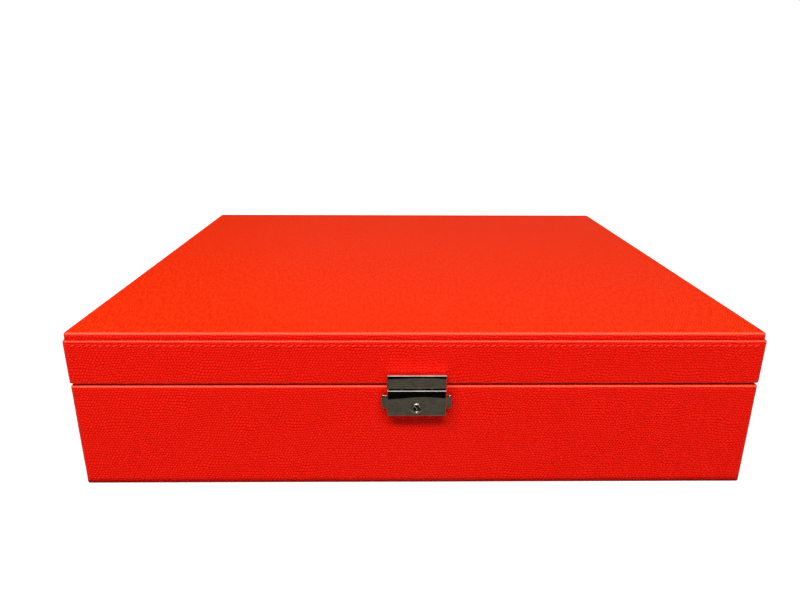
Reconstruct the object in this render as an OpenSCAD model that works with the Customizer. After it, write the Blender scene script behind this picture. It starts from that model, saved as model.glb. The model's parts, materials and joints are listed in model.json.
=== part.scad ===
// Poker case with a hinged lid, a press lock and lift-out trays.
// Units are millimetres. +X is to the right, the lock is at the front (-Y) and +Z is up.
// The origin is the centre of the underside, on the surface that the case stands on.

/* [Case] */
// Outside width of the lid
case_width = 420; // [402:2:480]
// Outside depth of the lid, front to rear
case_depth = 366; // [330:2:420]
// Height of the base, from the underside to its leather rim
base_height = 68.6; // [62:0.2:90]
// Gap between the two leather rims when the lid is shut
seam_gap = 1.6; // [1.2:0.1:2.2]
// Height of the lid's side walls, from rim to ledge
lid_wall_height = 28; // [24:0.5:45]
// Height of the top panel above the ledge
top_panel_height = 4.8; // [4:0.2:9]
// How far the base walls stand back from the lid walls
base_inset = 0.2; // [0:0.1:1.5]
// How far the top panel stands back from the lid walls
top_panel_inset = 0.9; // [0.4:0.1:3]
// Radius of the upright corners, seen from above
corner_radius = 2.6; // [2.2:0.1:6]
// Radius of the rolled leather rims and ledge
rim_roll = 1.4; // [0.8:0.1:1.8]
// Radius of the top panel's upper edge
panel_roll = 1.8; // [1:0.1:2]

/* [Walls] */
// Thickness of the leather
leather_t = 1.2; // [0.8:0.1:1.6]
// Thickness of the base's wall boards
base_board_t = 8; // [7:0.5:10]
// Thickness of the board in the base's floor
floor_board_t = 5; // [3:0.5:8]
// Thickness of the sheet under the base
underside_t = 1; // [0.6:0.1:2]
// Thickness of the suede lining on the floor
floor_lining_t = 1.5; // [0.8:0.1:3]
// Thickness of the suede-covered boards that line the base
liner_t = 2.5; // [2:0.1:3.5]
// How far those boards stand up above the base's rim
lip_height = 6.4; // [3:0.2:10]
// Clearance between that lip and the lid's lining
lip_gap = 0.5; // [0.3:0.1:1]
// Thickness of the suede sheets inside the lid
lid_lining_t = 1; // [0.6:0.1:1.5]
// Thickness of the board under the top panel
lid_top_board_t = 5; // [3:0.5:8]

/* [Trays] */
// Width of one chip channel, a little over a chip's diameter
chip_channel_d = 41.5; // [39:0.5:42]
// Channels side by side in each chip tray
chip_columns = 3; // [1:1:3]
// Channels end to end in each chip tray
chip_banks = 2; // [1:1:3]
// Height of a channel's upright sides above its half-round floor
channel_side_h = 11.7; // [4:0.1:16]
// Thickness of the wall between two channels
channel_divider_t = 2.6; // [2:0.1:3]
// Thickness of a tray's outer walls
tray_wall_t = 3.5; // [3:0.1:4]
// Clearance around each tray
tray_gap = 0.5; // [0.3:0.1:1]
// How far the trays' tops lie below the base's rim
tray_drop = 7.6; // [2:0.2:12]
// Width of a card well, across the case
card_well_w = 93; // [90:0.5:95]
// Length of a card well, front to rear
card_well_l = 68; // [64:0.5:70]
// Depth of a card well
card_well_depth = 26; // [15:1:36]
// Diameter of the finger notches beside the cards
finger_notch_d = 26; // [18:1:34]
// Length of the dice well
dice_well_l = 42; // [25:1:46]
// Depth of the dice well
dice_well_depth = 22; // [10:1:30]
// Diameter of the dealer button's well
button_well_d = 54; // [45:1:58]
// Depth of the dealer button's well
button_well_depth = 12; // [6:1:20]

/* [Lid pad] */
// Height of the pad's edge above the lid's rim
pad_recess = 4.2; // [3:0.1:8]
// How far the pad's middle swells below its edge
pad_crown = 1.2; // [0:0.1:1.5]
// How far each quilted diamond swells between its seams
pad_puff = 2; // [0.5:0.1:2.4]
// Clearance between the pad and the lip of the base
pad_gap = 1.2; // [0.8:0.1:4]

/* [Hinges] */
// Length of each hinge along its pin
hinge_length = 50; // [40:2:70]
// Distance between the middles of the two hinges
hinge_spacing = 260; // [160:5:300]
// Diameter of the hinge barrel
barrel_d = 5; // [4.6:0.1:6]
// Diameter of the hinge pin
hinge_pin_d = 2.4; // [2:0.1:2.8]
// Thickness of the hinge leaves
leaf_t = 1; // [0.8:0.1:1.1]
// Angle at which the stop lugs meet
open_angle = 95; // [90:1:100]

/* [Lock] */
// Width of the lock and of the hasp
lock_width = 35.6; // [34:0.2:44]
// Height of the lock's housing
lock_height = 17; // [15.8:0.1:20]
// How far the lock stands out from the lid's face
lock_projection = 7; // [6.6:0.1:9]
// Height of the hasp
hasp_height = 8.5; // [7.5:0.1:12]
// Gap between the hasp and the housing
lock_gap = 1.4; // [1:0.1:2.6]
// Chamfer round the lock's front edges
lock_chamfer = 0.4; // [0.2:0.1:0.8]
// Height of a press button
button_height = 8.5; // [5:0.1:8.8]
// How far a button stands out of the housing
button_stand = 3.3; // [2.6:0.1:5]
// How far a button can be pressed
button_travel = 2.2; // [2:0.1:2.3]
// Outer diameter of the ring round the keyhole
key_ring_d = 6.3; // [5.8:0.1:6.6]
// Distance from the top of the housing to the middle of the keyhole
key_drop = 11.8; // [11.3:0.1:11.8]

/* [Hidden] */
$fn = 64;

// Clearances
fit_gap = 0.3;
running_gap = 0.05;
press_gap = 0.02;
past = 1;

// Heights of the base and the lid
floor_board_z = underside_t;
floor_lining_z = floor_board_z + floor_board_t;
tray_z = floor_lining_z + floor_lining_t;
tray_top_z = base_height - tray_drop;
lip_top_z = base_height + lip_height;
lid_z = base_height + seam_gap;
ledge_z = lid_z + lid_wall_height;
top_z = ledge_z + top_panel_height;
lid_top_board_z = ledge_z - leather_t - lid_top_board_t;

// Outlines of the base and the lid, seen from above
base_w = case_width - 2 * base_inset;
base_d = case_depth - 2 * base_inset;
board_w = base_w - 2 * leather_t;
board_d = base_d - 2 * leather_t;
inside_w = board_w - 2 * base_board_t;
inside_d = board_d - 2 * base_board_t;
room_w = inside_w - 2 * liner_t;
room_d = inside_d - 2 * liner_t;
lid_board_t = base_inset + base_board_t - lid_lining_t - lip_gap;
lid_board_w = case_width - 2 * leather_t;
lid_board_d = case_depth - 2 * leather_t;
lid_inside_w = lid_board_w - 2 * lid_board_t;
lid_inside_d = lid_board_d - 2 * lid_board_t;
panel_w = case_width - 2 * top_panel_inset;
panel_d = case_depth - 2 * top_panel_inset;
board_corner_r = corner_radius - leather_t;
roll_root = 0.5;

// Trays
channel_r = chip_channel_d / 2;
channel_z = tray_top_z - channel_side_h;
channel_pitch = chip_channel_d + channel_divider_t;
tray_w = chip_columns * chip_channel_d + (chip_columns - 1) * channel_divider_t + 2 * tray_wall_t;
tray_d = room_d - 2 * tray_gap;
channel_l = (tray_d - (chip_banks + 1) * tray_wall_t) / chip_banks;
tray_x = room_w / 2 - tray_gap - tray_w / 2;
centre_tray_w = room_w - 2 * tray_w - 4 * tray_gap;
tray_corner_r = 2;
well_corner_r = 3;
well_space = (tray_d - 2 * card_well_l - dice_well_l - button_well_d) / 5;
pull_w = 22;
pull_t = 1.4;
pull_rise = 9;
pull_root = 8;

// Lid pad: a grid of square steps, four to each quilted diamond
pad_top_z = lid_top_board_z;
pad_edge_z = lid_z + pad_recess;
pad_w = room_w - 2 * pad_gap;
pad_d = room_d - 2 * pad_gap;
pad_steps_x = 32;
pad_steps_y = 28;
diamond_steps = 4;
pad_edge_lift = 1.5;

// Hinges
leaf_gap = 0.4;
leaf_margin = 0.4;
knuckles = 5;
knuckle_gap = 0.2;
barrel_r = barrel_d / 2;
barrel_clear = 0.25;
barrel_stand_off = 0.2;
pin_r = hinge_pin_d / 2;
pin_head_r = 1.9;
pin_head_t = 0.6;
hinge_y = case_depth / 2 + barrel_r + barrel_stand_off;
hinge_z = base_height + seam_gap / 2;
leaf_reach = leather_t + lid_board_t - leaf_margin;
leaf_inner_y = case_depth / 2 - leaf_reach;
leaf_pocket_gap = 0.15;
lug_rise = 2.1;
lug_root_depth = 0.3;
lug_r = barrel_r + lug_rise;
lug_root_r = barrel_r - lug_root_depth;
base_lug_face = -45;
lug_sweep = 40;
stop_gap_angle = 1;
hinge_screw_end = 8;
hinge_screw_x = hinge_length / 2 - hinge_screw_end;
hinge_screw_y = case_depth / 2 - leather_t - lid_board_t / 2;
hinge_screw_head_r = 2.1;
hinge_screw_r = 1.1;
hinge_screw_l = 10;
hinge_screw_tip_l = 2;
hinge_screw_tip_r = 0.2;
hinge_screw_slot = [2.2, 0.5, 1];

// Lock, from front to rear
front_y = -case_depth / 2 - lock_projection;
lid_face_y = -case_depth / 2;
base_face_y = -base_d / 2;
lock_wall = 1;
backplate_t = 1;
cavity_y = front_y + lock_wall;
backplate_y = base_face_y - backplate_t;
cam_back_gap = 0.6;
cam_t = 1.2;
cam_rear_y = backplate_y - cam_back_gap;
cam_y = cam_rear_y - cam_t;
hook_front_gap = 0.8;
hook_rear_y = cam_y - fit_gap;
hook_y = cavity_y + hook_front_gap;
groove_depth = 1.3;
groove_y = hook_rear_y - groove_depth;
skirt_t = 1;

// Lock, from top to bottom
housing_rise = 0.3;
housing_top_z = base_height + housing_rise;
housing_z = housing_top_z - lock_height;
hasp_z = housing_top_z + lock_gap;
hasp_top_z = hasp_z + hasp_height;
key_z = housing_top_z - key_drop;
catch_above_key = 5.5;
catch_z = key_z + catch_above_key;
catch_h = 2;
arm_h = 3;
barb_top_z = catch_z - fit_gap;
barb_h = 1.6;
button_below_key = 0.8;
button_z = key_z - button_below_key;
button_cut = 1;
button_top_cut = 0.4;

// Lock, from the middle outwards
cavity_x = lock_width / 2 - lock_wall;
staple_x = 2.4;
hook_inner_x = 8.2;
hook_stem_w = 1.6;
release_margin = 0.5;
hook_barb_w = button_travel - release_margin;
catch_overhang = 0.4;
catch_inner_x = hook_inner_x - hook_barb_w - catch_overhang;
flange_t = 1.5;
abutment_x = 8;
abutment_t = 1;
abutment_h = 4.2;
spring_r = 1.4;
spring_bore_r = 0.95;
spring_boss_r = 0.75;
spring_boss_l = 2.4;
spring_rise = 2.4;
spring_z = housing_z + lock_wall + spring_rise;
spring_y = (hook_y + cam_rear_y) / 2;

// Key core, its ring, cam and clip
ring_r = key_ring_d / 2;
ring_stand = 0.35;
ring_wall_t = 0.95;
ring_edge = 0.2;
ring_inner_edge = 0.15;
ring_step = 0.4;
ring_rear_y = cavity_y + ring_step;
core_face_r = ring_r - ring_wall_t;
core_step_gap = 0.1;
core_r = 2.8;
tail_r = 1.5;
tail_flat = 2.2;
key_bore_r = 1.75;
key_bore_depth = 2.2;
key_pin_r = 0.65;
key_slot_w = 1.2;
key_slot_margin = 0.2;
cam_r = 6.45;
cam_lug_t = 1.4;
cam_half_angle = 24;
clip_t = 0.4;
clip_r = 2.4;
clip_slot_w = 1;
staple_foot_gap = 0.4;

// Screws that hold the lock and the hasp from inside
boss_x = 11;
boss_r = 2.5;
boss_root = 0.5;
boss_web = 3.2;
wall_screw_r = 1.2;
wall_screw_head_r = 2.5;
wall_screw_head_t = 1.5;
wall_screw_recess = 0.1;
wall_screw_grip = 4.5;
wall_screw_slot = [3, 0.6, 1.4];
lock_boss_z = (housing_top_z + housing_z) / 2;
hasp_boss_z = (hasp_z + hasp_top_z) / 2;

// Colours
red_leather = [0.84, 0.06, 0.03];
board_brown = [0.66, 0.52, 0.38];
suede_grey = [0.2, 0.19, 0.2];
gunmetal = [0.2, 0.19, 0.18];
steel = [0.7, 0.7, 0.72];

// A rectangle on the origin with round corners
module rounded_rect(w, d, r) {
    square([w - 2 * r, d], center = true);
    square([w, d - 2 * r], center = true);
    for (x = [-1, 1], y = [-1, 1])
        translate([x * (w / 2 - r), y * (d / 2 - r)])
            circle(r);
}

// An upright block with round corners, from height z0 to height z1
module rounded_block(w, d, r, z0, z1) {
    translate([0, 0, z0])
        linear_extrude(z1 - z0)
            rounded_rect(w, d, r);
}

// A plain box between two corners
module box(low, high) {
    translate(low)
        cube(high - low);
}

// A quarter of a disc, from the origin towards +X and +Y, with a root that reaches into the block
module quarter_disc(r) {
    intersection() {
        circle(r);
        square(r);
    }
    translate([-roll_root, 0])
        square([roll_root, r]);
}

// The top layer of a block: as high as its roll, with a quarter-round edge all the way round
module rolled_layer(w, d, r, roll) {
    linear_extrude(roll)
        rounded_rect(w - 2 * roll, d - 2 * roll, r - roll);
    for (side = [0, 180]) {
        rotate([0, 0, side])
            translate([w / 2 - roll, d / 2 - r, 0])
                rotate([90, 0, 0])
                    linear_extrude(d - 2 * r)
                        quarter_disc(roll);
        rotate([0, 0, side + 90])
            translate([d / 2 - roll, w / 2 - r, 0])
                rotate([90, 0, 0])
                    linear_extrude(w - 2 * r)
                        quarter_disc(roll);
    }
    for (x = [-1, 1], y = [-1, 1])
        translate([x * (w / 2 - r), y * (d / 2 - r), 0])
            rotate_extrude() {
                square([r - roll, roll]);
                translate([r - roll, 0])
                    quarter_disc(roll);
            }
}

// A block with its upper edge rolled, and its lower edge too where bottom_roll is over 0
module rolled_block(w, d, r, z0, z1, top_roll, bottom_roll = 0) {
    rounded_block(w, d, r, z0 + bottom_roll, z1 - top_roll);
    translate([0, 0, z1 - top_roll])
        rolled_layer(w, d, r, top_roll);
    if (bottom_roll > 0)
        translate([0, 0, z0 + bottom_roll])
            mirror([0, 0, 1])
                rolled_layer(w, d, r, bottom_roll);
}

// A wall board along X with its two outer corners rounded, and its outer face towards -Y
module front_board(w, d, t, z0, z1) {
    intersection() {
        rounded_block(w, d, board_corner_r, z0, z1);
        box([-w, -d, z0 - past], [w, t - d / 2, z1 + past]);
    }
}

// A wall board along Y that fills in between the front and rear boards, on the right
module side_board(w, d, t, z0, z1) {
    box([w / 2 - t, t - d / 2, z0], [w / 2, d / 2 - t, z1]);
}

// Holes through a front wall for one fitting's two bosses and the screws behind them.
// face_y is the wall's outer face and inner_y is its inner one.
module boss_holes(face_y, inner_y, z) {
    for (side = [-1, 1])
        translate([side * boss_x, face_y, z])
            rotate([-90, 0, 0]) {
                translate([0, 0, -past])
                    cylinder(h = inner_y - face_y - boss_web + past, r = boss_r + running_gap);
                cylinder(h = inner_y - face_y, r = wall_screw_r + running_gap);
                translate([0, 0, inner_y - face_y - wall_screw_head_t - wall_screw_recess])
                    cylinder(h = wall_screw_head_t + past, r = wall_screw_head_r + running_gap);
            }
}

// The two bosses on the back of a fitting, bored for its screws
module bosses(face_y, inner_y, z) {
    for (side = [-1, 1])
        translate([side * boss_x, face_y, z])
            rotate([-90, 0, 0])
                difference() {
                    translate([0, 0, -boss_root])
                        cylinder(h = boss_root + inner_y - face_y - boss_web, r = boss_r);
                    translate([0, 0, -past])
                        cylinder(h = inner_y - face_y + past, r = wall_screw_r + press_gap);
                }
}

// The two screws in those bosses, with their heads sunk into the wall's inner face
module boss_screws(inner_y, z) {
    shank_l = boss_web - wall_screw_recess - wall_screw_head_t + wall_screw_grip;
    for (side = [-1, 1])
        translate([side * boss_x, inner_y - wall_screw_recess, z])
            rotate([90, 0, 0])
                difference() {
                    union() {
                        cylinder(h = wall_screw_head_t, r = wall_screw_head_r);
                        translate([0, 0, wall_screw_head_t])
                            cylinder(h = shank_l, r = wall_screw_r);
                    }
                    for (turn = [0, 90])
                        rotate([0, 0, turn])
                            cube(wall_screw_slot, center = true);
                }
}

// Base: boards, leather and underside

base_inner_y = -inside_d / 2;
lid_inner_y = -lid_inside_d / 2;
board_top_z = base_height - leather_t;

module base_front_board() {
    color(board_brown)
        difference() {
            front_board(board_w, board_d, base_board_t, floor_board_z, board_top_z);
            boss_holes(base_face_y, base_inner_y, lock_boss_z);
        }
}

module base_rear_board() {
    color(board_brown)
        difference() {
            rotate([0, 0, 180])
                front_board(board_w, board_d, base_board_t, floor_board_z, board_top_z);
            hinge_screw_holes(-1);
        }
}

module base_right_board() {
    color(board_brown)
        side_board(board_w, board_d, base_board_t, floor_board_z, board_top_z);
}

module base_left_board() {
    mirror([1, 0, 0])
        base_right_board();
}

module base_floor_board() {
    color(board_brown)
        box([-inside_w / 2, -inside_d / 2, floor_board_z], [inside_w / 2, inside_d / 2, floor_lining_z]);
}

module base_underside() {
    color("dimgray")
        rounded_block(board_w, board_d, board_corner_r, 0, underside_t);
}

// The red leather round the base: over the walls, turned in over the rim and down to the underside
module base_leather() {
    color(red_leather)
        difference() {
            rolled_block(base_w, base_d, corner_radius, underside_t / 2, base_height, rim_roll);
            rounded_block(board_w, board_d, board_corner_r, -past, board_top_z);
            box([-inside_w / 2, -inside_d / 2, 0], [inside_w / 2, inside_d / 2, base_height + past]);
            boss_holes(base_face_y, base_inner_y, lock_boss_z);
            leaf_pockets();
            hinge_screw_holes(-1);
        }
}

// Base: the suede-covered boards whose round top edge stands up as a lip, and the floor's lining

module liner_along_x(w) {
    translate([-w / 2, 0, 0])
        rotate([90, 0, 90])
            linear_extrude(w) {
                translate([-liner_t / 2, floor_lining_z])
                    square([liner_t, lip_top_z - liner_t / 2 - floor_lining_z]);
                translate([0, lip_top_z - liner_t / 2])
                    circle(liner_t / 2);
            }
}

module base_liner_front() {
    color(suede_grey)
        translate([0, (liner_t - inside_d) / 2, 0])
            liner_along_x(inside_w);
}

module base_liner_rear() {
    mirror([0, 1, 0])
        base_liner_front();
}

module base_liner_right() {
    color(suede_grey)
        translate([(inside_w - liner_t) / 2, 0, 0])
            rotate([0, 0, 90])
                liner_along_x(room_d);
}

module base_liner_left() {
    mirror([1, 0, 0])
        base_liner_right();
}

module floor_lining() {
    color(suede_grey)
        box([-room_w / 2, -room_d / 2, floor_lining_z], [room_w / 2, room_d / 2, tray_z]);
}

// Trays

// One channel, open at the top: a half-round floor with upright sides
module chip_channel() {
    rotate([90, 0, 0])
        linear_extrude(channel_l, center = true) {
            circle(channel_r);
            translate([-channel_r, 0])
                square([2 * channel_r, channel_side_h + past]);
        }
}

// The slot in a tray's middle wall that holds the root of its leather pull
module pull_slot() {
    box([-pull_w / 2 - press_gap, -pull_t / 2 - press_gap, tray_top_z - pull_root],
        [pull_w / 2 + press_gap, pull_t / 2 + press_gap, tray_top_z + past]);
}

module chip_tray_right() {
    color(suede_grey)
        translate([tray_x, 0, 0])
            difference() {
                rounded_block(tray_w, tray_d, tray_corner_r, tray_z, tray_top_z);
                for (column = [0:chip_columns - 1], bank = [0:chip_banks - 1])
                    translate([
                        (column - (chip_columns - 1) / 2) * channel_pitch,
                        (bank - (chip_banks - 1) / 2) * (channel_l + tray_wall_t),
                        channel_z
                    ])
                        chip_channel();
                pull_slot();
            }
}

module chip_tray_left() {
    mirror([1, 0, 0])
        chip_tray_right();
}

// A well with round corners, sunk into the centre tray
module well(w, l, depth) {
    rounded_block(w, l, well_corner_r, tray_top_z - depth, tray_top_z + past);
}

// A card well with a round finger notch at each end
module card_well() {
    well(card_well_w, card_well_l, card_well_depth);
    for (side = [-1, 1])
        translate([0, side * card_well_l / 2, tray_top_z - card_well_depth])
            cylinder(h = card_well_depth + past, d = finger_notch_d);
}

// Places of the centre tray's wells, counted from its front wall
front_cards_y = -tray_d / 2 + well_space + card_well_l / 2;
rear_cards_y = tray_d / 2 - well_space - card_well_l / 2;
dealer_y = front_cards_y + card_well_l / 2 + well_space + button_well_d / 2;
dice_y = rear_cards_y - card_well_l / 2 - well_space - dice_well_l / 2;
centre_pull_y = (dealer_y + button_well_d / 2 + dice_y - dice_well_l / 2) / 2;

module centre_tray() {
    color(suede_grey)
        difference() {
            rounded_block(centre_tray_w, tray_d, tray_corner_r, tray_z, tray_top_z);
            for (y = [front_cards_y, rear_cards_y])
                translate([0, y, 0])
                    card_well();
            translate([0, dice_y, 0])
                well(card_well_w, dice_well_l, dice_well_depth);
            translate([0, dealer_y, tray_top_z - button_well_depth])
                cylinder(h = button_well_depth + past, d = button_well_d);
            translate([0, centre_pull_y, 0])
                pull_slot();
        }
}

// A leather pull: a flat tab with a round head
module tray_pull() {
    color(red_leather)
        rotate([90, 0, 0])
            translate([0, 0, -pull_t / 2])
                linear_extrude(pull_t) {
                    translate([-pull_w / 2, tray_top_z - pull_root])
                        square([pull_w, pull_root]);
                    intersection() {
                        translate([0, tray_top_z + pull_rise - pull_w / 2])
                            circle(pull_w / 2);
                        translate([-pull_w / 2, tray_top_z - pull_root])
                            square([pull_w, pull_root + pull_rise + past]);
                    }
                }
}

module tray_pull_right() {
    translate([tray_x, 0, 0])
        tray_pull();
}

module tray_pull_left() {
    mirror([1, 0, 0])
        tray_pull_right();
}

module tray_pull_centre() {
    translate([0, centre_pull_y, 0])
        tray_pull();
}

// Lid: boards, leather and top panel

lid_board_z = lid_z + leather_t;
lid_board_top_z = ledge_z - leather_t;

module lid_front_board() {
    color(board_brown)
        difference() {
            front_board(lid_board_w, lid_board_d, lid_board_t, lid_board_z, lid_board_top_z);
            boss_holes(lid_face_y, lid_inner_y, hasp_boss_z);
        }
}

module lid_rear_board() {
    color(board_brown)
        difference() {
            rotate([0, 0, 180])
                front_board(lid_board_w, lid_board_d, lid_board_t, lid_board_z, lid_board_top_z);
            hinge_screw_holes(1);
        }
}

module lid_right_board() {
    color(board_brown)
        side_board(lid_board_w, lid_board_d, lid_board_t, lid_board_z, lid_board_top_z);
}

module lid_left_board() {
    mirror([1, 0, 0])
        lid_right_board();
}

module lid_top_board() {
    color(board_brown)
        box([-lid_inside_w / 2, -lid_inside_d / 2, lid_top_board_z],
            [lid_inside_w / 2, lid_inside_d / 2, lid_board_top_z]);
}

// The red leather round the lid: turned in under the rim and over the ledge, below the top panel
module lid_leather() {
    color(red_leather)
        difference() {
            rolled_block(case_width, case_depth, corner_radius, lid_z, ledge_z, rim_roll, rim_roll);
            rounded_block(lid_board_w, lid_board_d, board_corner_r, lid_board_z, lid_board_top_z);
            box([-lid_inside_w / 2, -lid_inside_d / 2, lid_z - past],
                [lid_inside_w / 2, lid_inside_d / 2, ledge_z + past]);
            boss_holes(lid_face_y, lid_inner_y, hasp_boss_z);
            leaf_pockets();
            hinge_screw_holes(1);
        }
}

module top_panel_board() {
    color(board_brown)
        rounded_block(panel_w - 2 * leather_t, panel_d - 2 * leather_t, board_corner_r,
            ledge_z, top_z - leather_t);
}

module top_panel_leather() {
    color(red_leather)
        difference() {
            rolled_block(panel_w, panel_d, corner_radius, ledge_z, top_z, panel_roll);
            rounded_block(panel_w - 2 * leather_t, panel_d - 2 * leather_t, board_corner_r,
                ledge_z - past, top_z - leather_t);
        }
}

// Lid: suede sheets on its inner faces, from the rim up to the top board

module lid_liner_front() {
    color(suede_grey)
        box([-lid_inside_w / 2, -lid_inside_d / 2, lid_z + rim_roll / 2],
            [lid_inside_w / 2, lid_lining_t - lid_inside_d / 2, lid_top_board_z]);
}

module lid_liner_rear() {
    mirror([0, 1, 0])
        lid_liner_front();
}

module lid_liner_right() {
    color(suede_grey)
        box([lid_inside_w / 2 - lid_lining_t, lid_lining_t - lid_inside_d / 2, lid_z + rim_roll / 2],
            [lid_inside_w / 2, lid_inside_d / 2 - lid_lining_t, lid_top_board_z]);
}

module lid_liner_left() {
    mirror([1, 0, 0])
        lid_liner_right();
}

// Lid: the quilted pad. Its seams run along the diagonals of the grid, and its rim curls up.

// 0 at the pad's edge and 1 away from it, for a step i out of n
function inward(i, n) = sin(180 * i / n);

// How far the quilting swells at step i, j: nothing on a seam, most in the middle of a diamond
function puff(i, j) =
    pad_puff * sqrt(abs(sin(180 * (i + j) / diamond_steps) * sin(180 * (i - j) / diamond_steps)));

function on_edge(i, n) = i == 0 || i == n;

function pad_height(i, j) =
    on_edge(i, pad_steps_x) || on_edge(j, pad_steps_y)
        ? pad_edge_z + pad_edge_lift
        : pad_edge_z - pad_crown * inward(i, pad_steps_x) * inward(j, pad_steps_y) - puff(i, j);

function pad_point(i, j, z) = [pad_w * (i / pad_steps_x - 0.5), pad_d * (j / pad_steps_y - 0.5), z];

function pad_index(i, j) = i * (pad_steps_y + 1) + j;

// The steps along each side of the grid, counterclockwise seen from above
pad_sides = [
    [for (i = [0:pad_steps_x]) [i, 0]],
    [for (j = [0:pad_steps_y]) [pad_steps_x, j]],
    [for (i = [pad_steps_x:-1:0]) [i, pad_steps_y]],
    [for (j = [pad_steps_y:-1:0]) [0, j]]
];

module lid_pad() {
    face_points = [
        for (i = [0:pad_steps_x], j = [0:pad_steps_y])
            pad_point(i, j, pad_height(i, j))
    ];
    back_points = [for (side = pad_sides) pad_point(side[0][0], side[0][1], pad_top_z)];
    back = len(face_points);
    // Each cell is split along the seam that crosses it
    cells = [
        for (i = [0:pad_steps_x - 1], j = [0:pad_steps_y - 1])
            each (i + j) % 2 == 0
                ? [
                    [pad_index(i, j), pad_index(i + 1, j), pad_index(i + 1, j + 1)],
                    [pad_index(i, j), pad_index(i + 1, j + 1), pad_index(i, j + 1)]
                ]
                : [
                    [pad_index(i, j), pad_index(i + 1, j), pad_index(i, j + 1)],
                    [pad_index(i + 1, j), pad_index(i + 1, j + 1), pad_index(i, j + 1)]
                ]
    ];
    // Each side wall is a fan from its first upper corner
    walls = [
        for (s = [0:3])
            let (edge = [for (step = pad_sides[s]) pad_index(step[0], step[1])])
            each concat(
                [for (k = [0:len(edge) - 2]) [edge[k], back + s, edge[k + 1]]],
                [[edge[len(edge) - 1], back + s, back + (s + 1) % 4]]
            )
    ];
    cover = [[back + 2, back + 1, back], [back + 3, back + 2, back]];
    color(suede_grey)
        polyhedron(concat(face_points, back_points), concat(cells, walls, cover), convexity = 4);
}

// Hinges. Each profile is drawn about the pin, with +X to the rear and +Y up, and carried along X.

knuckle_l = hinge_length / knuckles;

// Carries a profile along the hinge from one station to another, both counted from its left end
module along_hinge(from, to) {
    translate([from - hinge_length / 2, hinge_y, hinge_z])
        rotate([90, 0, 90])
            linear_extrude(to - from)
                children();
}

// The part of the stop ring between two angles, from radius inner_r to the lugs' rim
module lug_sector(inner_r, from_angle) {
    reach = 2 * lug_r;
    intersection() {
        difference() {
            circle(lug_r);
            circle(inner_r);
        }
        polygon([
            [0, 0],
            reach * [cos(from_angle), sin(from_angle)],
            reach * [cos(from_angle + lug_sweep / 2), sin(from_angle + lug_sweep / 2)],
            reach * [cos(from_angle + lug_sweep), sin(from_angle + lug_sweep)]
        ]);
    }
}

// One leaf's plate as a profile. It lies above the pin's centre where side is 1 and below where -1.
module leaf_profile(side, rear_y) {
    low = side > 0 ? leaf_gap / 2 : -leaf_gap / 2 - leaf_t;
    translate([leaf_inner_y - hinge_y, low])
        square([rear_y - leaf_inner_y + hinge_y, leaf_t]);
}

module screw_countersinks(side) {
    for (x = [-hinge_screw_x, 0, hinge_screw_x])
        translate([x, hinge_screw_y, hinge_z + side * leaf_gap / 2])
            facing(side)
                hinge_screw(running_gap);
}

// Turns a screw that points down into one that points up, where side is 1
module facing(side) {
    mirror([0, 0, side > 0 ? 1 : 0])
        children();
}

// A countersunk screw with its head's face at the origin, pointing down
module hinge_screw(extra = 0) {
    mirror([0, 0, 1]) {
        cylinder(h = leaf_t, r1 = hinge_screw_head_r + extra, r2 = hinge_screw_r + extra);
        cylinder(h = hinge_screw_l - hinge_screw_tip_l, r = hinge_screw_r + extra);
        translate([0, 0, hinge_screw_l - hinge_screw_tip_l])
            cylinder(h = hinge_screw_tip_l, r1 = hinge_screw_r + extra, r2 = hinge_screw_tip_r + extra);
    }
}

module hinge_screws(side) {
    for (hinge = [-1, 1], x = [-hinge_screw_x, 0, hinge_screw_x])
        translate([hinge * hinge_spacing / 2 + x, hinge_screw_y, hinge_z + side * leaf_gap / 2])
            facing(side)
                difference() {
                    hinge_screw();
                    for (turn = [0, 90])
                        rotate([0, 0, turn])
                            cube(hinge_screw_slot, center = true);
                }
}

module hinge_screw_holes(side) {
    for (hinge = [-1, 1])
        translate([hinge * hinge_spacing / 2, 0, 0])
            screw_countersinks(side);
}

// The shallow pockets in both rims that the leaves lie in
module leaf_pockets() {
    half = leaf_gap / 2 + leaf_t;
    for (hinge = [-1, 1])
        translate([hinge * hinge_spacing / 2, 0, 0])
            box([-hinge_length / 2 - leaf_pocket_gap, leaf_inner_y - leaf_pocket_gap, hinge_z - half],
                [hinge_length / 2 + leaf_pocket_gap, hinge_y, hinge_z + half]);
}

module pin_bore() {
    translate([-hinge_length, hinge_y, hinge_z])
        rotate([0, 90, 0])
            cylinder(h = 2 * hinge_length, r = pin_r + running_gap);
}

// The leaf on the base: three knuckles, with the fixed stop lug under the middle one
module hinge_base_leaf() {
    color(gunmetal)
        difference() {
            union() {
                along_hinge(0, hinge_length)
                    leaf_profile(-1, -barrel_r - barrel_clear);
                for (k = [0, 2, 4])
                    along_hinge(k * knuckle_l + (k == 0 ? 0 : knuckle_gap / 2),
                        (k + 1) * knuckle_l - (k == 4 ? 0 : knuckle_gap / 2)) {
                        leaf_profile(-1, 0);
                        circle(barrel_r);
                    }
                along_hinge(2 * knuckle_l + knuckle_gap / 2, 3 * knuckle_l - knuckle_gap / 2)
                    lug_sector(lug_root_r, base_lug_face - lug_sweep);
            }
            pin_bore();
            screw_countersinks(-1);
        }
}

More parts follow.
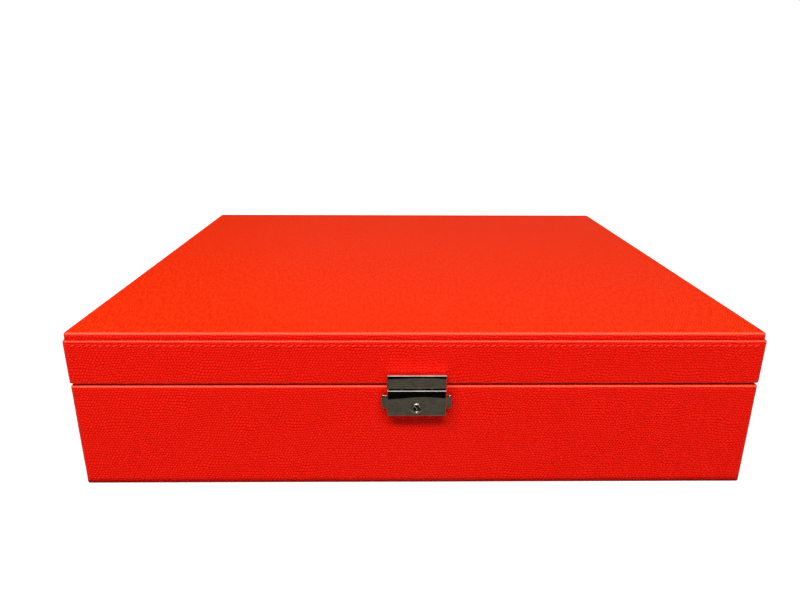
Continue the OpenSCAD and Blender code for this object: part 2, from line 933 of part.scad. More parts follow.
// The leaf on the lid: two knuckles, joined by the stop lug that swings down onto the fixed one
module hinge_lid_leaf() {
    lid_lug_face = base_lug_face + open_angle + stop_gap_angle;
    color(gunmetal)
        difference() {
            union() {
                along_hinge(0, hinge_length)
                    leaf_profile(1, -barrel_r - barrel_clear);
                for (k = [1, 3]) {
                    along_hinge(k * knuckle_l + knuckle_gap / 2, (k + 1) * knuckle_l - knuckle_gap / 2) {
                        leaf_profile(1, 0);
                        circle(barrel_r);
                        lug_sector(lug_root_r, lid_lug_face);
                    }
                }
                along_hinge(2 * knuckle_l - knuckle_gap, 3 * knuckle_l + knuckle_gap)
                    lug_sector(barrel_r + barrel_clear, lid_lug_face);
            }
            pin_bore();
            screw_countersinks(1);
        }
}

module hinge_pin() {
    color(steel)
        translate([-hinge_length / 2 - pin_head_t, hinge_y, hinge_z])
            rotate([0, 90, 0]) {
                cylinder(h = pin_head_t, r1 = pin_head_r - pin_head_t / 2, r2 = pin_head_r);
                cylinder(h = hinge_length + pin_head_t, r = pin_r);
                translate([0, 0, hinge_length + pin_head_t])
                    cylinder(h = pin_head_t, r1 = pin_head_r, r2 = pin_head_r - pin_head_t / 2);
            }
}

module hinge_base_leaf_left() {
    translate([-hinge_spacing / 2, 0, 0])
        hinge_base_leaf();
}

module hinge_base_leaf_right() {
    translate([hinge_spacing / 2, 0, 0])
        hinge_base_leaf();
}

module hinge_lid_leaf_left() {
    translate([-hinge_spacing / 2, 0, 0])
        hinge_lid_leaf();
}

module hinge_lid_leaf_right() {
    translate([hinge_spacing / 2, 0, 0])
        hinge_lid_leaf();
}

module hinge_pin_left() {
    translate([-hinge_spacing / 2, 0, 0])
        hinge_pin();
}

module hinge_pin_right() {
    translate([hinge_spacing / 2, 0, 0])
        hinge_pin();
}

module hinge_base_screws() {
    color(steel)
        hinge_screws(-1);
}

module hinge_lid_screws() {
    color(steel)
        hinge_screws(1);
}

// Lock

// A block between two heights, from front_y back to rear_y, with its four front edges chamfered
module chamfered_block(w, z0, z1, rear_y) {
    c = lock_chamfer;
    intersection() {
        translate([0, 0, z0])
            linear_extrude(z1 - z0)
                polygon([
                    [-w / 2, rear_y], [-w / 2, front_y + c], [c - w / 2, front_y],
                    [w / 2 - c, front_y], [w / 2, front_y + c], [w / 2, rear_y]
                ]);
        translate([-w, 0, 0])
            rotate([90, 0, 90])
                linear_extrude(2 * w)
                    polygon([
                        [rear_y, z0], [front_y + c, z0], [front_y, z0 + c],
                        [front_y, z1 - c], [front_y + c, z1], [rear_y, z1]
                    ]);
    }
}

// A cylinder along the key core's axis, between two depths
module key_cylinder(from_y, to_y, r) {
    translate([0, from_y, key_z])
        rotate([-90, 0, 0])
            cylinder(h = to_y - from_y, r = r);
}

// The shell that covers the mechanism: slots above for the hooks and the staple, a window in each
// side for its button, and a bore for the keyhole ring
module lock_housing() {
    slot_rear_y = hook_rear_y + fit_gap;
    slot_y = hook_y - fit_gap;
    color(gunmetal)
        difference() {
            chamfered_block(lock_width, housing_z, housing_top_z, base_face_y);
            box([-cavity_x, cavity_y, housing_z + lock_wall],
                [cavity_x, base_face_y + past, housing_top_z - lock_wall]);
            box([-staple_x - fit_gap, slot_y, key_z],
                [staple_x + fit_gap, slot_rear_y, housing_top_z + past]);
            for (side = [0, 1])
                mirror([side, 0, 0]) {
                    box([hook_inner_x - hook_barb_w - fit_gap, slot_y, key_z],
                        [hook_inner_x + hook_stem_w + fit_gap, slot_rear_y, housing_top_z + past]);
                    box([cavity_x - past, hook_y - fit_gap, button_z - fit_gap],
                        [lock_width, cam_rear_y + fit_gap, button_z + button_height + fit_gap]);
                }
            key_cylinder(front_y - past, cavity_y + past, ring_r + press_gap);
        }
}

// The plate that closes the housing. It carries the springs' abutments and the bosses in the wall.
module lock_backplate() {
    color(gunmetal) {
        box([-cavity_x + press_gap, backplate_y, housing_z + lock_wall + press_gap],
            [cavity_x - press_gap, base_face_y, housing_top_z - lock_wall - press_gap]);
        for (side = [0, 1])
            mirror([side, 0, 0])
                box([abutment_x, hook_y, housing_z + lock_wall + fit_gap],
                    [abutment_x + abutment_t, backplate_y, housing_z + lock_wall + fit_gap + abutment_h]);
        bosses(base_face_y, base_inner_y, lock_boss_z);
    }
}

module lock_screws() {
    color(steel)
        boss_screws(base_inner_y, lock_boss_z);
}

module keyhole_ring() {
    bore_r = core_face_r + running_gap;
    ring_l = ring_rear_y - front_y + ring_stand;
    color(steel)
        translate([0, front_y - ring_stand, key_z])
            rotate([-90, 0, 0])
                rotate_extrude()
                    polygon([
                        [bore_r, ring_edge], [bore_r + ring_inner_edge, 0],
                        [ring_r - ring_edge, 0], [ring_r, ring_edge],
                        [ring_r, ring_l], [bore_r, ring_l]
                    ]);
}

// The turning core: its face with a pin and slots for the key, its body, and a flatted tail
module lock_core() {
    color(steel)
        difference() {
            union() {
                key_cylinder(front_y, ring_rear_y + core_step_gap, core_face_r);
                key_cylinder(ring_rear_y + core_step_gap, cam_y, core_r);
                intersection() {
                    key_cylinder(cam_y, cam_rear_y + clip_t, tail_r);
                    box([-tail_r, cam_y - past, key_z - tail_flat / 2],
                        [tail_r, backplate_y, key_z + tail_flat / 2]);
                }
            }
            difference() {
                union() {
                    key_cylinder(front_y - past, front_y + key_bore_depth, key_bore_r);
                    box([-key_slot_w / 2, front_y - past, key_z - core_face_r + key_slot_margin],
                        [key_slot_w / 2, front_y + key_bore_depth, key_z + core_face_r - key_slot_margin]);
                }
                key_cylinder(front_y - past, front_y + key_bore_depth + past, key_pin_r);
            }
        }
}

// The cam on the core's tail: a sector behind the staple, with a curved lug that swings into its groove
module lock_cam() {
    reach = 2 * cam_r;
    sector = [
        [0, 0],
        reach * [-cos(cam_half_angle), -sin(cam_half_angle)],
        reach * [-1, 0],
        reach * [-cos(cam_half_angle), sin(cam_half_angle)]
    ];
    color(steel)
        difference() {
            union() {
                key_cylinder(cam_y, cam_rear_y, core_r);
                translate([0, cam_rear_y, key_z])
                    rotate([90, 0, 0])
                        linear_extrude(cam_t)
                            intersection() {
                                circle(cam_r);
                                polygon(sector);
                            }
                translate([0, cam_y, key_z])
                    rotate([90, 0, 0])
                        linear_extrude(cam_y - groove_y - fit_gap)
                            intersection() {
                                difference() {
                                    circle(cam_r);
                                    circle(cam_r - cam_lug_t);
                                }
                                polygon(sector);
                            }
            }
            intersection() {
                key_cylinder(cam_y - past, cam_rear_y + past, tail_r + press_gap);
                box([-core_r, cam_y - past, key_z - tail_flat / 2 - press_gap],
                    [core_r, cam_rear_y + past, key_z + tail_flat / 2 + press_gap]);
            }
        }
}

// The open ring that keeps the cam on the tail
module core_clip() {
    color(steel)
        difference() {
            key_cylinder(cam_rear_y, cam_rear_y + clip_t, clip_r);
            key_cylinder(cam_rear_y - past, cam_rear_y + clip_t + past, tail_r + press_gap);
            box([-clip_slot_w / 2, cam_rear_y - past, key_z - clip_r - past],
                [clip_slot_w / 2, backplate_y, key_z]);
        }
}

// A press button: its tab outside, the flange that keeps it in, and the arm with the catch
module button_right() {
    flange_x = cavity_x - running_gap;
    tab_x = lock_width / 2 + button_stand;
    button_top_z = button_z + button_height;
    color(gunmetal) {
        translate([0, cam_rear_y, 0])
            rotate([90, 0, 0])
                linear_extrude(cam_rear_y - hook_y)
                    polygon([
                        [flange_x - flange_t, button_z], [tab_x - button_cut, button_z],
                        [tab_x, button_z + button_cut], [tab_x, button_top_z - button_top_cut],
                        [tab_x - button_top_cut, button_top_z], [flange_x - flange_t, button_top_z]
                    ]);
        box([flange_x - flange_t, hook_y - fit_gap, housing_z + lock_wall + fit_gap],
            [flange_x, cam_rear_y, housing_top_z - lock_wall - fit_gap]);
        box([catch_inner_x, cam_y, catch_z], [flange_x, cam_rear_y, catch_z + arm_h]);
        box([catch_inner_x, hook_y, catch_z], [hook_inner_x - fit_gap, cam_rear_y, catch_z + catch_h]);
        translate([flange_x - flange_t - spring_boss_l, spring_y, spring_z])
            rotate([0, 90, 0])
                cylinder(h = spring_boss_l + flange_t / 2, r = spring_boss_r);
    }
}

module button_left() {
    mirror([1, 0, 0])
        button_right();
}

module button_spring_right() {
    from_x = abutment_x + abutment_t;
    to_x = cavity_x - running_gap - flange_t;
    color(steel)
        translate([from_x, spring_y, spring_z])
            rotate([0, 90, 0])
                difference() {
                    cylinder(h = to_x - from_x, r = spring_r);
                    translate([0, 0, -past])
                        cylinder(h = to_x - from_x + 2 * past, r = spring_bore_r);
                }
}

module button_spring_left() {
    mirror([1, 0, 0])
        button_spring_right();
}

// The hasp on the lid: its block, a skirt that closes the gap below it at the back, two hooks whose
// barbs lie under the buttons' catches, a staple with a round groove for the cam, and the bosses
module hasp() {
    color(gunmetal) {
        chamfered_block(lock_width, hasp_z, hasp_top_z, lid_face_y);
        box([-lock_width / 2, lid_face_y - skirt_t, housing_top_z + fit_gap],
            [lock_width / 2, lid_face_y, hasp_z + past]);
        for (side = [0, 1])
            mirror([side, 0, 0]) {
                box([hook_inner_x, hook_y, barb_top_z - barb_h],
                    [hook_inner_x + hook_stem_w, hook_rear_y, hasp_z + past]);
                box([hook_inner_x - hook_barb_w, hook_y, barb_top_z - barb_h],
                    [hook_inner_x + hook_stem_w / 2, hook_rear_y, barb_top_z]);
            }
        difference() {
            box([-staple_x, hook_y, key_z + core_r + staple_foot_gap],
                [staple_x, hook_rear_y, hasp_z + past]);
            difference() {
                key_cylinder(groove_y, hook_rear_y + past, cam_r + fit_gap);
                key_cylinder(groove_y - past, hook_rear_y + 2 * past, cam_r - cam_lug_t - fit_gap);
            }
        }
        bosses(lid_face_y, lid_inner_y, hasp_boss_z);
    }
}

module hasp_screws() {
    color(steel)
        boss_screws(lid_inner_y, hasp_boss_z);
}

base_front_board();
base_rear_board();
base_left_board();
base_right_board();
base_floor_board();
base_leather();
base_underside();
base_liner_front();
base_liner_rear();
base_liner_left();
base_liner_right();
floor_lining();
chip_tray_left();
chip_tray_right();
centre_tray();
tray_pull_left();
tray_pull_centre();
tray_pull_right();
lid_front_board();
lid_rear_board();
lid_left_board();
lid_right_board();
lid_top_board();
lid_leather();
top_panel_board();
top_panel_leather();
lid_liner_front();
lid_liner_rear();
lid_liner_left();
lid_liner_right();
lid_pad();
hinge_base_leaf_left();
hinge_base_leaf_right();
hinge_lid_leaf_left();
hinge_lid_leaf_right();
hinge_pin_left();
hinge_pin_right();
hinge_base_screws();
hinge_lid_screws();
lock_housing();
lock_backplate();
lock_screws();
keyhole_ring();
lock_core();
lock_cam();
core_clip();
button_left();
button_right();
button_spring_left();
button_spring_right();
hasp();
hasp_screws();
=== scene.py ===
"""A red leather case for a poker set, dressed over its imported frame.

Sizes in this file are millimetres, in the frame's own axes: +X to the right, the lock at the front
(-Y) and +Z up. MM turns them into Blender's metres where a mesh is made.
"""

import json
import logging
import math
from collections.abc import Sequence
from dataclasses import dataclass, replace
from enum import Enum
from functools import cache
from typing import Union

import bmesh
import bpy
import numpy as np
from mathutils import Matrix, Vector

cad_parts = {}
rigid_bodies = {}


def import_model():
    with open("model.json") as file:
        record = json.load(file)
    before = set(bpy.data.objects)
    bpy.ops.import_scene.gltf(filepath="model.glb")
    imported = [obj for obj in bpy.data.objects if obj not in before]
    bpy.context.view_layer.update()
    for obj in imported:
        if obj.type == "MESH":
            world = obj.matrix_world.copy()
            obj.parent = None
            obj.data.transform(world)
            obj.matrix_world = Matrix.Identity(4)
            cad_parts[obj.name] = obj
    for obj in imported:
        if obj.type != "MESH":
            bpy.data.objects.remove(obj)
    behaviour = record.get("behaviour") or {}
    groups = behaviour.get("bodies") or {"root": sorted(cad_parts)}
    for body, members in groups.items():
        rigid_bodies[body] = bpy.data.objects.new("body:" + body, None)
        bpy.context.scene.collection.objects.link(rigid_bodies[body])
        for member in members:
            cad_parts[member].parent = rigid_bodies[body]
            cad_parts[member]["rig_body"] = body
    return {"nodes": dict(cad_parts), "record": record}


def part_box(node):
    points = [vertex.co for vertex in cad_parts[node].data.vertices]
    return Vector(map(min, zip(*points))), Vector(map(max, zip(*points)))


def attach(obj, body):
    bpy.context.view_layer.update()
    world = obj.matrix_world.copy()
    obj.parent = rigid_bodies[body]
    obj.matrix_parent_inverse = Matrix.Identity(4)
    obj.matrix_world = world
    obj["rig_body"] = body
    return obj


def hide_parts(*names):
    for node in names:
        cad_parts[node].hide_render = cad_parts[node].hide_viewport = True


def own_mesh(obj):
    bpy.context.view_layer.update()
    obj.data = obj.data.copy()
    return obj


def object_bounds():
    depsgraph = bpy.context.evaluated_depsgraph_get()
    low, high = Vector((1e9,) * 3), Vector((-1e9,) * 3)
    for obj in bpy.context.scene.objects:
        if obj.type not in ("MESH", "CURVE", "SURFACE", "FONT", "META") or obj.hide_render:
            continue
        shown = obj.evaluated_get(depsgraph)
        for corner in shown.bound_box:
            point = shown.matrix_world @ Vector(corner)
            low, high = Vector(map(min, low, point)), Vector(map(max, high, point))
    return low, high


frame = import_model()
CAD_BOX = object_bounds()

MM = 0.001
WELD = 0.002
FLAT_ANGLE = 0.6
EDGE_ANGLE = 32.0
SMOOTH_ANGLE = 40.0
ROLL_STEPS = 8
STITCH_RINGS = 7
STITCH_SIDES = 6
STITCH_RISE = 0.9
STITCH_DIP = 1.5
IMAGE_WIDTH_PX = 800
GRAIN_UV = "grain"
STRETCH_AND_HIGHLIGHT = "stretch"
TOP_LIGHT = "top_light"
LOG = logging.getLogger("poker_case")

Colour = tuple[float, float, float]
Value = Union["Signal", float, Sequence[float]]
Material = bpy.types.Material
Piece = bpy.types.Object
WHITE: Colour = (1.0, 1.0, 1.0)


def linear(red: int, green: int, blue: int) -> Colour:
    """Turn a display colour into the linear one that shaders take.

    Args:
        red, green, blue: The display colour's parts, from 0 to 255.

    Returns:
        The same colour in linear light, each part from 0 to 1.
    """
    shares = (part / 255 for part in (red, green, blue))
    return tuple(s / 12.92 if s <= 0.04045 else ((s + 0.055) / 1.055) ** 2.4 for s in shares)


def smooth(values: np.ndarray, low: float, high: float) -> np.ndarray:
    """Rise from 0 at low to 1 at high along a cubic with level ends.

    Args:
        values: Where the curve is read.
        low, high: The two ends of the rise.

    Returns:
        The curve's heights, in the shape of values.
    """
    share = np.clip((values - low) / (high - low), 0, 1)
    return share * share * (3 - 2 * share)


def joined(*parts: np.ndarray | float) -> np.ndarray:
    """Give points from their coordinates, each spread to the shape of all."""
    return np.stack(np.broadcast_arrays(*parts), -1)


class Signal:
    """A socket whose value changes over a surface. Arithmetic on it adds Math nodes."""

    def __init__(self, graph: "Graph", socket: bpy.types.NodeSocket | None) -> None:
        """Keep the node tree and the socket that the value comes out of."""
        self.graph = graph
        self.socket = socket

    def _math(self, operation: str, *values: Value) -> "Signal":
        """Add one Math node on these values."""
        return self.graph.add("ShaderNodeMath", {"operation": operation}, dict(enumerate(values)))

    def __add__(self, other: Value) -> "Signal":
        """Add a value to this one."""
        return self._math("ADD", self, other)

    __radd__ = __add__

    def __sub__(self, other: Value) -> "Signal":
        """Take a value from this one."""
        return self._math("SUBTRACT", self, other)

    def __rsub__(self, other: Value) -> "Signal":
        """Take this value from another."""
        return self._math("SUBTRACT", other, self)

    def __mul__(self, other: Value) -> "Signal":
        """Multiply this value by another."""
        return self._math("MULTIPLY", self, other)

    __rmul__ = __mul__

    def highest(self, other: Value) -> "Signal":
        """Give the larger of this value and another."""
        return self._math("MAXIMUM", self, other)

    def sine(self) -> "Signal":
        """Give the sine of this value."""
        return self._math("SINE", self)

    def rise(self, low: float, high: float) -> "Signal":
        """Rise smoothly from 0 to 1 as this value goes from low to high."""
        settings = {"interpolation_type": "SMOOTHSTEP"}
        return self.graph.add("ShaderNodeMapRange", settings, {0: self, 1: low, 2: high})

    def past(self, edge: float, blur: float = 0.5) -> "Signal":
        """Give 0 before an edge and 1 past it, with a little blur."""
        return self.rise(edge - blur, edge + blur)

    def output(self, name: str) -> "Signal":
        """Give another output of the node that this value comes from."""
        return Signal(self.graph, self.socket.node.outputs[name])


class Place(Enum):
    """What a finish's pattern follows."""

    SHEET = "the piece's own flat layout, in millimetres"
    BODY = "the object's space, in millimetres"


class Graph:
    """One material's node tree, with a method for each step that the finishes share."""

    COLOUR_INPUTS = (6, 7)
    COLOUR_OUTPUT = 2

    def __init__(self, name: str, world: bpy.types.World | None = None) -> None:
        """Start an empty tree.

        Args:
            name: The name of the new material that the tree belongs to.
            world: The world that it belongs to instead, if any.
        """
        self.material = world or bpy.data.materials.new(name)
        self.material.use_nodes = True
        self.tree = self.material.node_tree
        self.tree.nodes.clear()

    def add(
        self,
        kind: str,
        settings: dict[str, object] | None = None,
        inputs: dict[str | int, object] | None = None,
        output: str | int = 0,
    ) -> Signal:
        """Add a node.

        Args:
            kind: The node's type.
            settings: Its own settings.
            inputs: A value or a signal for each named or numbered socket.
            output: The output that is wanted.

        Returns:
            The signal that comes out.
        """
        node = self.tree.nodes.new(kind)
        for key, value in (settings or {}).items():
            setattr(node, key, value)
        for key, value in (inputs or {}).items():
            if isinstance(value, Signal):
                self.tree.links.new(value.socket, node.inputs[key])
            elif node.inputs[key].type == "RGBA":
                node.inputs[key].default_value = (*value, 1.0)
            else:
                node.inputs[key].default_value = value
        return Signal(self, node.outputs[output] if node.outputs else None)

    def place(self, place: Place) -> Signal:
        """Give the surface position that a pattern reads.

        Args:
            place: What the pattern follows.

        Returns:
            The position, in millimetres.
        """
        if place is Place.SHEET:
            return self.add("ShaderNodeUVMap", {"uv_map": GRAIN_UV})
        position = self.add("ShaderNodeTexCoord", output="Object")
        return self.scaled(position, 1 / MM, 1 / MM, 1 / MM)

    def vector(self, operation: str, *vectors: Value) -> Signal:
        """Add a Vector Math node on these vectors."""
        return self.add("ShaderNodeVectorMath", {"operation": operation}, dict(enumerate(vectors)))

    def scaled(self, where: Signal, *factors: float) -> Signal:
        """Multiply a position by a factor for each axis."""
        return self.vector("MULTIPLY", where, factors)

    def axis(self, where: Signal, name: str) -> Signal:
        """Give one coordinate of a position."""
        return self.add("ShaderNodeSeparateXYZ", inputs={0: where}, output=name)

    def noise(self, where: Signal, size: float, detail: float = 2.0, output: str = "Fac") -> Signal:
        """Add soft random variation.

        Args:
            where: The position that it follows, in millimetres.
            size: About how wide its patches are, in millimetres.
            detail: How many finer layers lie on top.
            output: Fac for a value, or Color for a random vector.

        Returns:
            The variation, about 0.5 on average.
        """
        inputs = {"Vector": where, "Scale": 1 / size, "Detail": detail}
        return self.add("ShaderNodeTexNoise", {"noise_dimensions": "3D"}, inputs, output)

    def mix(self, share: Value, first: object, second: object) -> Signal:
        """Go from one colour to another.

        Args:
            share: 0 for the first colour and 1 for the second.
            first, second: Colours or colour signals.

        Returns:
            The mixed colour.
        """
        settings = {"data_type": "RGBA", "clamp_factor": True}
        inputs = {0: share, **dict(zip(self.COLOUR_INPUTS, (first, second)))}
        return self.add("ShaderNodeMix", settings, inputs, self.COLOUR_OUTPUT)

    def cover(self, surface: Signal, kind: str = "Material") -> None:
        """Join a surface to the tree's output."""
        self.add(f"ShaderNodeOutput{kind}", inputs={"Surface": surface})

    def finish(self, height: Signal, depth: float, strength: float, **sockets: object) -> Material:
        """Join everything to a Principled surface.

        Args:
            height: The relief.
            depth: How deep the relief is, in millimetres.
            strength: How strongly it bends the light, from 0 to 1.
            **sockets: Values for the surface's sockets, with underscores for spaces.

        Returns:
            The material.
        """
        inputs = {key.replace("_", " "): value for key, value in sockets.items()}
        relief = {"Strength": strength, "Distance": depth * MM, "Height": height}
        inputs["Normal"] = self.add("ShaderNodeBump", inputs=relief)
        self.cover(self.add("ShaderNodeBsdfPrincipled", inputs=inputs))
        return self.material


@dataclass(frozen=True)
class Finish:
    """A finish whose pattern runs between a dark and a light colour."""

    name: str
    dark: Colour
    light: Colour

    @cache
    def material(self) -> Material:
        """Make the material, once for each finish."""
        return self.paint(Graph(self.name))

    def paint(self, graph: Graph) -> Material:
        """Draw the pattern on an empty node tree, and give the tree's material."""
        raise NotImplementedError(self.name)


@dataclass(frozen=True)
class Leather(Finish):
    """Grained leather: light pebbles in level and slanting rows that drift, with dark valleys.

    Where it is stretched over an edge, it is smoother and flatter, and lighter, partly as stretched
    leather is and partly as a painted highlight. Where it faces up, painted light from above takes
    it towards a lighter orange, with darker streaks along Y as painted shade in creases.

    Attributes:
        edge, faded: Its colours over an edge and where it faces up.
        rows: Pebbles per millimetre along each axis, one line for each direction in which they
            are counted.
        drift, drift_size: How far the rows are pushed about, and how wide the pushes are.
        disorder: How far pebbles stray from even places, from 0 to 1.
        valley, pebble_edge: Where a pebble's slope starts, and how far into it the slope and the
            colour run, as shares of its size.
        mottle_share: How much wide patches vary the pebbles' colour.
        relief, bump: The grain's depth in millimetres, and how strongly it bends the light.
        fine_relief: The finest grain's height, as a share of a pebble's.
        edge_highlight_share, edge_flat, edge_shine: How far an edge takes its own colour, partly a
        painted highlight, loses its grain and gets smoother.
        top_light_share, crease_shade_share: How far a face that looks up fades, and its creases
            darken it.
        crease_aspect: A crease's width as a share of its length.
        crease_range: The stretch of the creases' noise over which they set in.
    """

    edge: Colour
    top_light_colour: Colour
    place: Place
    rows: tuple[tuple[float, float, float], ...] = (
        (0.545, -0.325, 0.0),
        (0.0, 0.565, 0.1),
        (0.1, 0.0, 0.565),
    )
    drift: float = 6.0
    drift_size: float = 24.0
    disorder: float = 0.45
    valley: float = 0.02
    pebble_edge: float = 0.3
    fine_size: float = 0.35
    fine_relief: float = 0.25
    mottle_size: float = 16.0
    mottle_share: float = 0.4
    relief: float = 0.2
    bump: float = 0.8
    roughness: float = 0.34
    valley_roughness: float = 0.2
    gloss: float = 0.03
    edge_highlight_share: float = 0.48
    edge_flat: float = 0.7
    edge_shine: float = 0.1
    top_light_share: float = 0.55
    crease_size: float = 1.7
    crease_aspect: float = 0.3
    crease_range: tuple[float, float] = (0.4, 0.62)
    crease_shade_share: float = 0.5

    def paint(self, graph: Graph) -> Material:
        """Draw the leather.

        The position, pushed about by wide noise, is counted off along the rows, so that a square
        Voronoi pattern on the counts is a slanting one on the leather. A cell's distance from its
        edge is a pebble.

        Args:
            graph: An empty node tree.

        Returns:
            The tree's material.
        """
        where = graph.place(self.place)
        push = graph.noise(where, self.drift_size, detail=1.0, output="Color")
        push = graph.vector("SUBTRACT", push, (0.5, 0.5, 0.5))
        drifted = graph.vector("ADD", where, graph.scaled(push, *[self.drift] * 3))
        counts = [graph.vector("DOT_PRODUCT", drifted, row).output("Value") for row in self.rows]
        counted = graph.add("ShaderNodeCombineXYZ", inputs=dict(enumerate(counts)))
        dimensions = "2D" if self.place is Place.SHEET else "3D"
        settings = {"voronoi_dimensions": dimensions, "feature": "DISTANCE_TO_EDGE"}
        inputs = {"Vector": counted, "Scale": 1.0, "Randomness": self.disorder}
        cell = graph.add("ShaderNodeTexVoronoi", settings, inputs)
        ridge, crest = (cell.rise(start, self.pebble_edge) for start in (self.valley, 0.0))
        fine = graph.noise(where, self.fine_size)
        mottle = graph.noise(where, self.mottle_size, detail=3.0)
        creases = graph.scaled(where, 1.0, self.crease_aspect, 1.0)
        creases = graph.noise(creases, self.crease_size, detail=1.0).rise(*self.crease_range)
        marks = [{"attribute_name": name} for name in (STRETCH_AND_HIGHLIGHT, TOP_LIGHT)]
        # The marks say where the painted edge highlight and the painted light from above go.
        stretch, top_light = (graph.add("ShaderNodeAttribute", mark, output="Fac") for mark in marks)
        shade = crest * (1 - self.mottle_share / 2 + self.mottle_share * mottle)
        colour = graph.mix(shade, self.dark, self.light)
        # Painted light from above: faces that look up go towards a lighter orange.
        colour = graph.mix(self.top_light_share * top_light * (0.5 + crest), colour, self.top_light_colour)
        # Painted shade: darker streaks along Y, for creases on faces that look up.
        colour = graph.mix(self.crease_shade_share * top_light * creases, colour, self.dark)
        # Partly painted highlight: rolled edges go lighter, most on the pebbles' crests.
        colour = graph.mix(self.edge_highlight_share * stretch * (1 + crest), colour, self.edge)
        rough = self.valley_roughness * (1 - ridge) - self.edge_shine * stretch
        return graph.finish(
            (ridge + self.fine_relief * fine) * (1 - self.edge_flat * stretch),
            depth=self.relief,
            strength=self.bump,
            Base_Color=colour,
            Roughness=self.roughness + rough,
            Specular_IOR_Level=self.gloss,
        )


@dataclass(frozen=True)
class Suede(Finish):
    """Short brushed nap, with wide lighter and darker patches where it was stroked.

    Attributes:
        patch_range, fibre_range: The stretch of each noise over which it goes from dark to light.
        patch_share, fibre_share: How much each adds to the colour.
        relief, bump: The nap's depth in millimetres, and how strongly it bends the light.
        stroke_shine: How much smoother it is where it was stroked.
    """

    patch_size: float = 38.0
    patch_range: tuple[float, float] = (0.32, 0.68)
    patch_share: float = 0.28
    fibre_size: float = 0.5
    fibre_range: tuple[float, float] = (0.3, 0.7)
    fibre_share: float = 0.62
    relief: float = 0.25
    bump: float = 0.55
    roughness: float = 0.95
    stroke_shine: float = 0.12
    gloss: float = 0.2
    sheen: float = 0.35
    sheen_roughness: float = 0.45

    def paint(self, graph: Graph) -> Material:
        """Draw a wide noise for the nap's direction and a fine one for its fibres.

        Args:
            graph: An empty node tree.

        Returns:
            The tree's material.
        """
        where = graph.place(Place.BODY)
        patches = graph.noise(where, self.patch_size).rise(*self.patch_range)
        fibres = graph.noise(where, self.fibre_size, detail=3.0)
        shade = self.patch_share * patches + self.fibre_share * fibres.rise(*self.fibre_range)
        return graph.finish(
            fibres,
            depth=self.relief,
            strength=self.bump,
            Base_Color=graph.mix(shade, self.dark, self.light),
            Roughness=self.roughness - self.stroke_shine * patches,
            Specular_IOR_Level=self.gloss,
            Sheen_Weight=self.sheen,
            Sheen_Roughness=self.sheen_roughness,
        )


@dataclass(frozen=True)
class Metal(Finish):
    """Plated metal: nearly a mirror, with faint smudges and hairline scratches.

    Attributes:
        smudge: How much rougher it is where it is smudged and scratched.
        keyway: The places along Y between which painted shade darkens it inside a keyway, in
            millimetres, or None where it has no keyway.
        smudge_share, streak_share: How much each adds to the colour.
        smudge_range, streak_range: The stretch of each noise over which it sets in.
        relief, bump: The scratches' depth in millimetres, and how strongly they bend the light.
    """

    roughness: float
    smudge: float
    keyway: tuple[float, float] | None = None
    keyway_shade_colour: Colour = (0.004, 0.004, 0.004)
    smudge_size: float = 5.0
    smudge_range: tuple[float, float] = (0.35, 0.7)
    smudge_share: float = 0.4
    streak_size: float = 0.6
    streak_aspect: tuple[float, float, float] = (0.3, 1.0, 1.3)
    streak_range: tuple[float, float] = (0.3, 0.7)
    streak_share: float = 0.6
    relief: float = 0.001
    bump: float = 0.1

    def paint(self, graph: Graph) -> Material:
        """Draw the metal. Scratches are noise stretched to long thin streaks.

        Args:
            graph: An empty node tree.

        Returns:
            The tree's material.
        """
        where = graph.place(Place.BODY)
        smudges = graph.noise(where, self.smudge_size).rise(*self.smudge_range)
        streaks = graph.scaled(where, *self.streak_aspect)
        streaks = graph.noise(streaks, self.streak_size, detail=3.0)
        shade = self.smudge_share * smudges + self.streak_share * streaks.rise(*self.streak_range)
        colour = graph.mix(shade, self.dark, self.light)
        if self.keyway:
            # Painted shade: the metal goes dark inside the keyway.
            inside = graph.axis(where, "Y").rise(*self.keyway)
            colour = graph.mix(inside, colour, self.keyway_shade_colour)
        return graph.finish(
            streaks,
            depth=self.relief,
            strength=self.bump,
            Base_Color=colour,
            Metallic=1.0,
            Roughness=self.roughness + self.smudge * (smudges + streaks),
        )


@dataclass(frozen=True)
class Board(Finish):
    """Pale wood board, with its grain along X.

    Attributes:
        grain_aspect, pore_aspect: How far each is drawn out, as its width over its length.
        grain_range: The stretch of the grain's noise over which it goes from dark to light.
        pore_share, pore_relief, pore_roughness: What the pores add to the colour, to the height
            and to the roughness.
        relief, bump: The grain's depth in millimetres, and how strongly it bends the light.
    """

    grain_size: float = 3.0
    grain_aspect: float = 0.05
    grain_range: tuple[float, float] = (0.3, 0.7)
    pore_size: float = 0.4
    pore_aspect: float = 0.1
    pore_share: float = 0.8
    pore_relief: float = 0.4
    pore_roughness: float = 0.2
    relief: float = 0.1
    bump: float = 0.4
    roughness: float = 0.62

    def paint(self, graph: Graph) -> Material:
        """Draw the board. Its grain is noise drawn out along X, with finer pores on top.

        Args:
            graph: An empty node tree.

        Returns:
            The tree's material.
        """
        where = graph.place(Place.BODY)
        grain = graph.scaled(where, self.grain_aspect, 1.0, 1.0)
        grain = graph.noise(grain, self.grain_size, detail=4.0)
        pores = graph.noise(graph.scaled(where, self.pore_aspect, 1.0, 1.0), self.pore_size)
        shade = grain.rise(*self.grain_range)
        shade = shade * (1 - self.pore_share / 2 + self.pore_share * pores)
        return graph.finish(
            grain + self.pore_relief * pores,
            depth=self.relief,
            strength=self.bump,
            Base_Color=graph.mix(shade, self.dark, self.light),
            Roughness=self.roughness + self.pore_roughness * pores,
        )


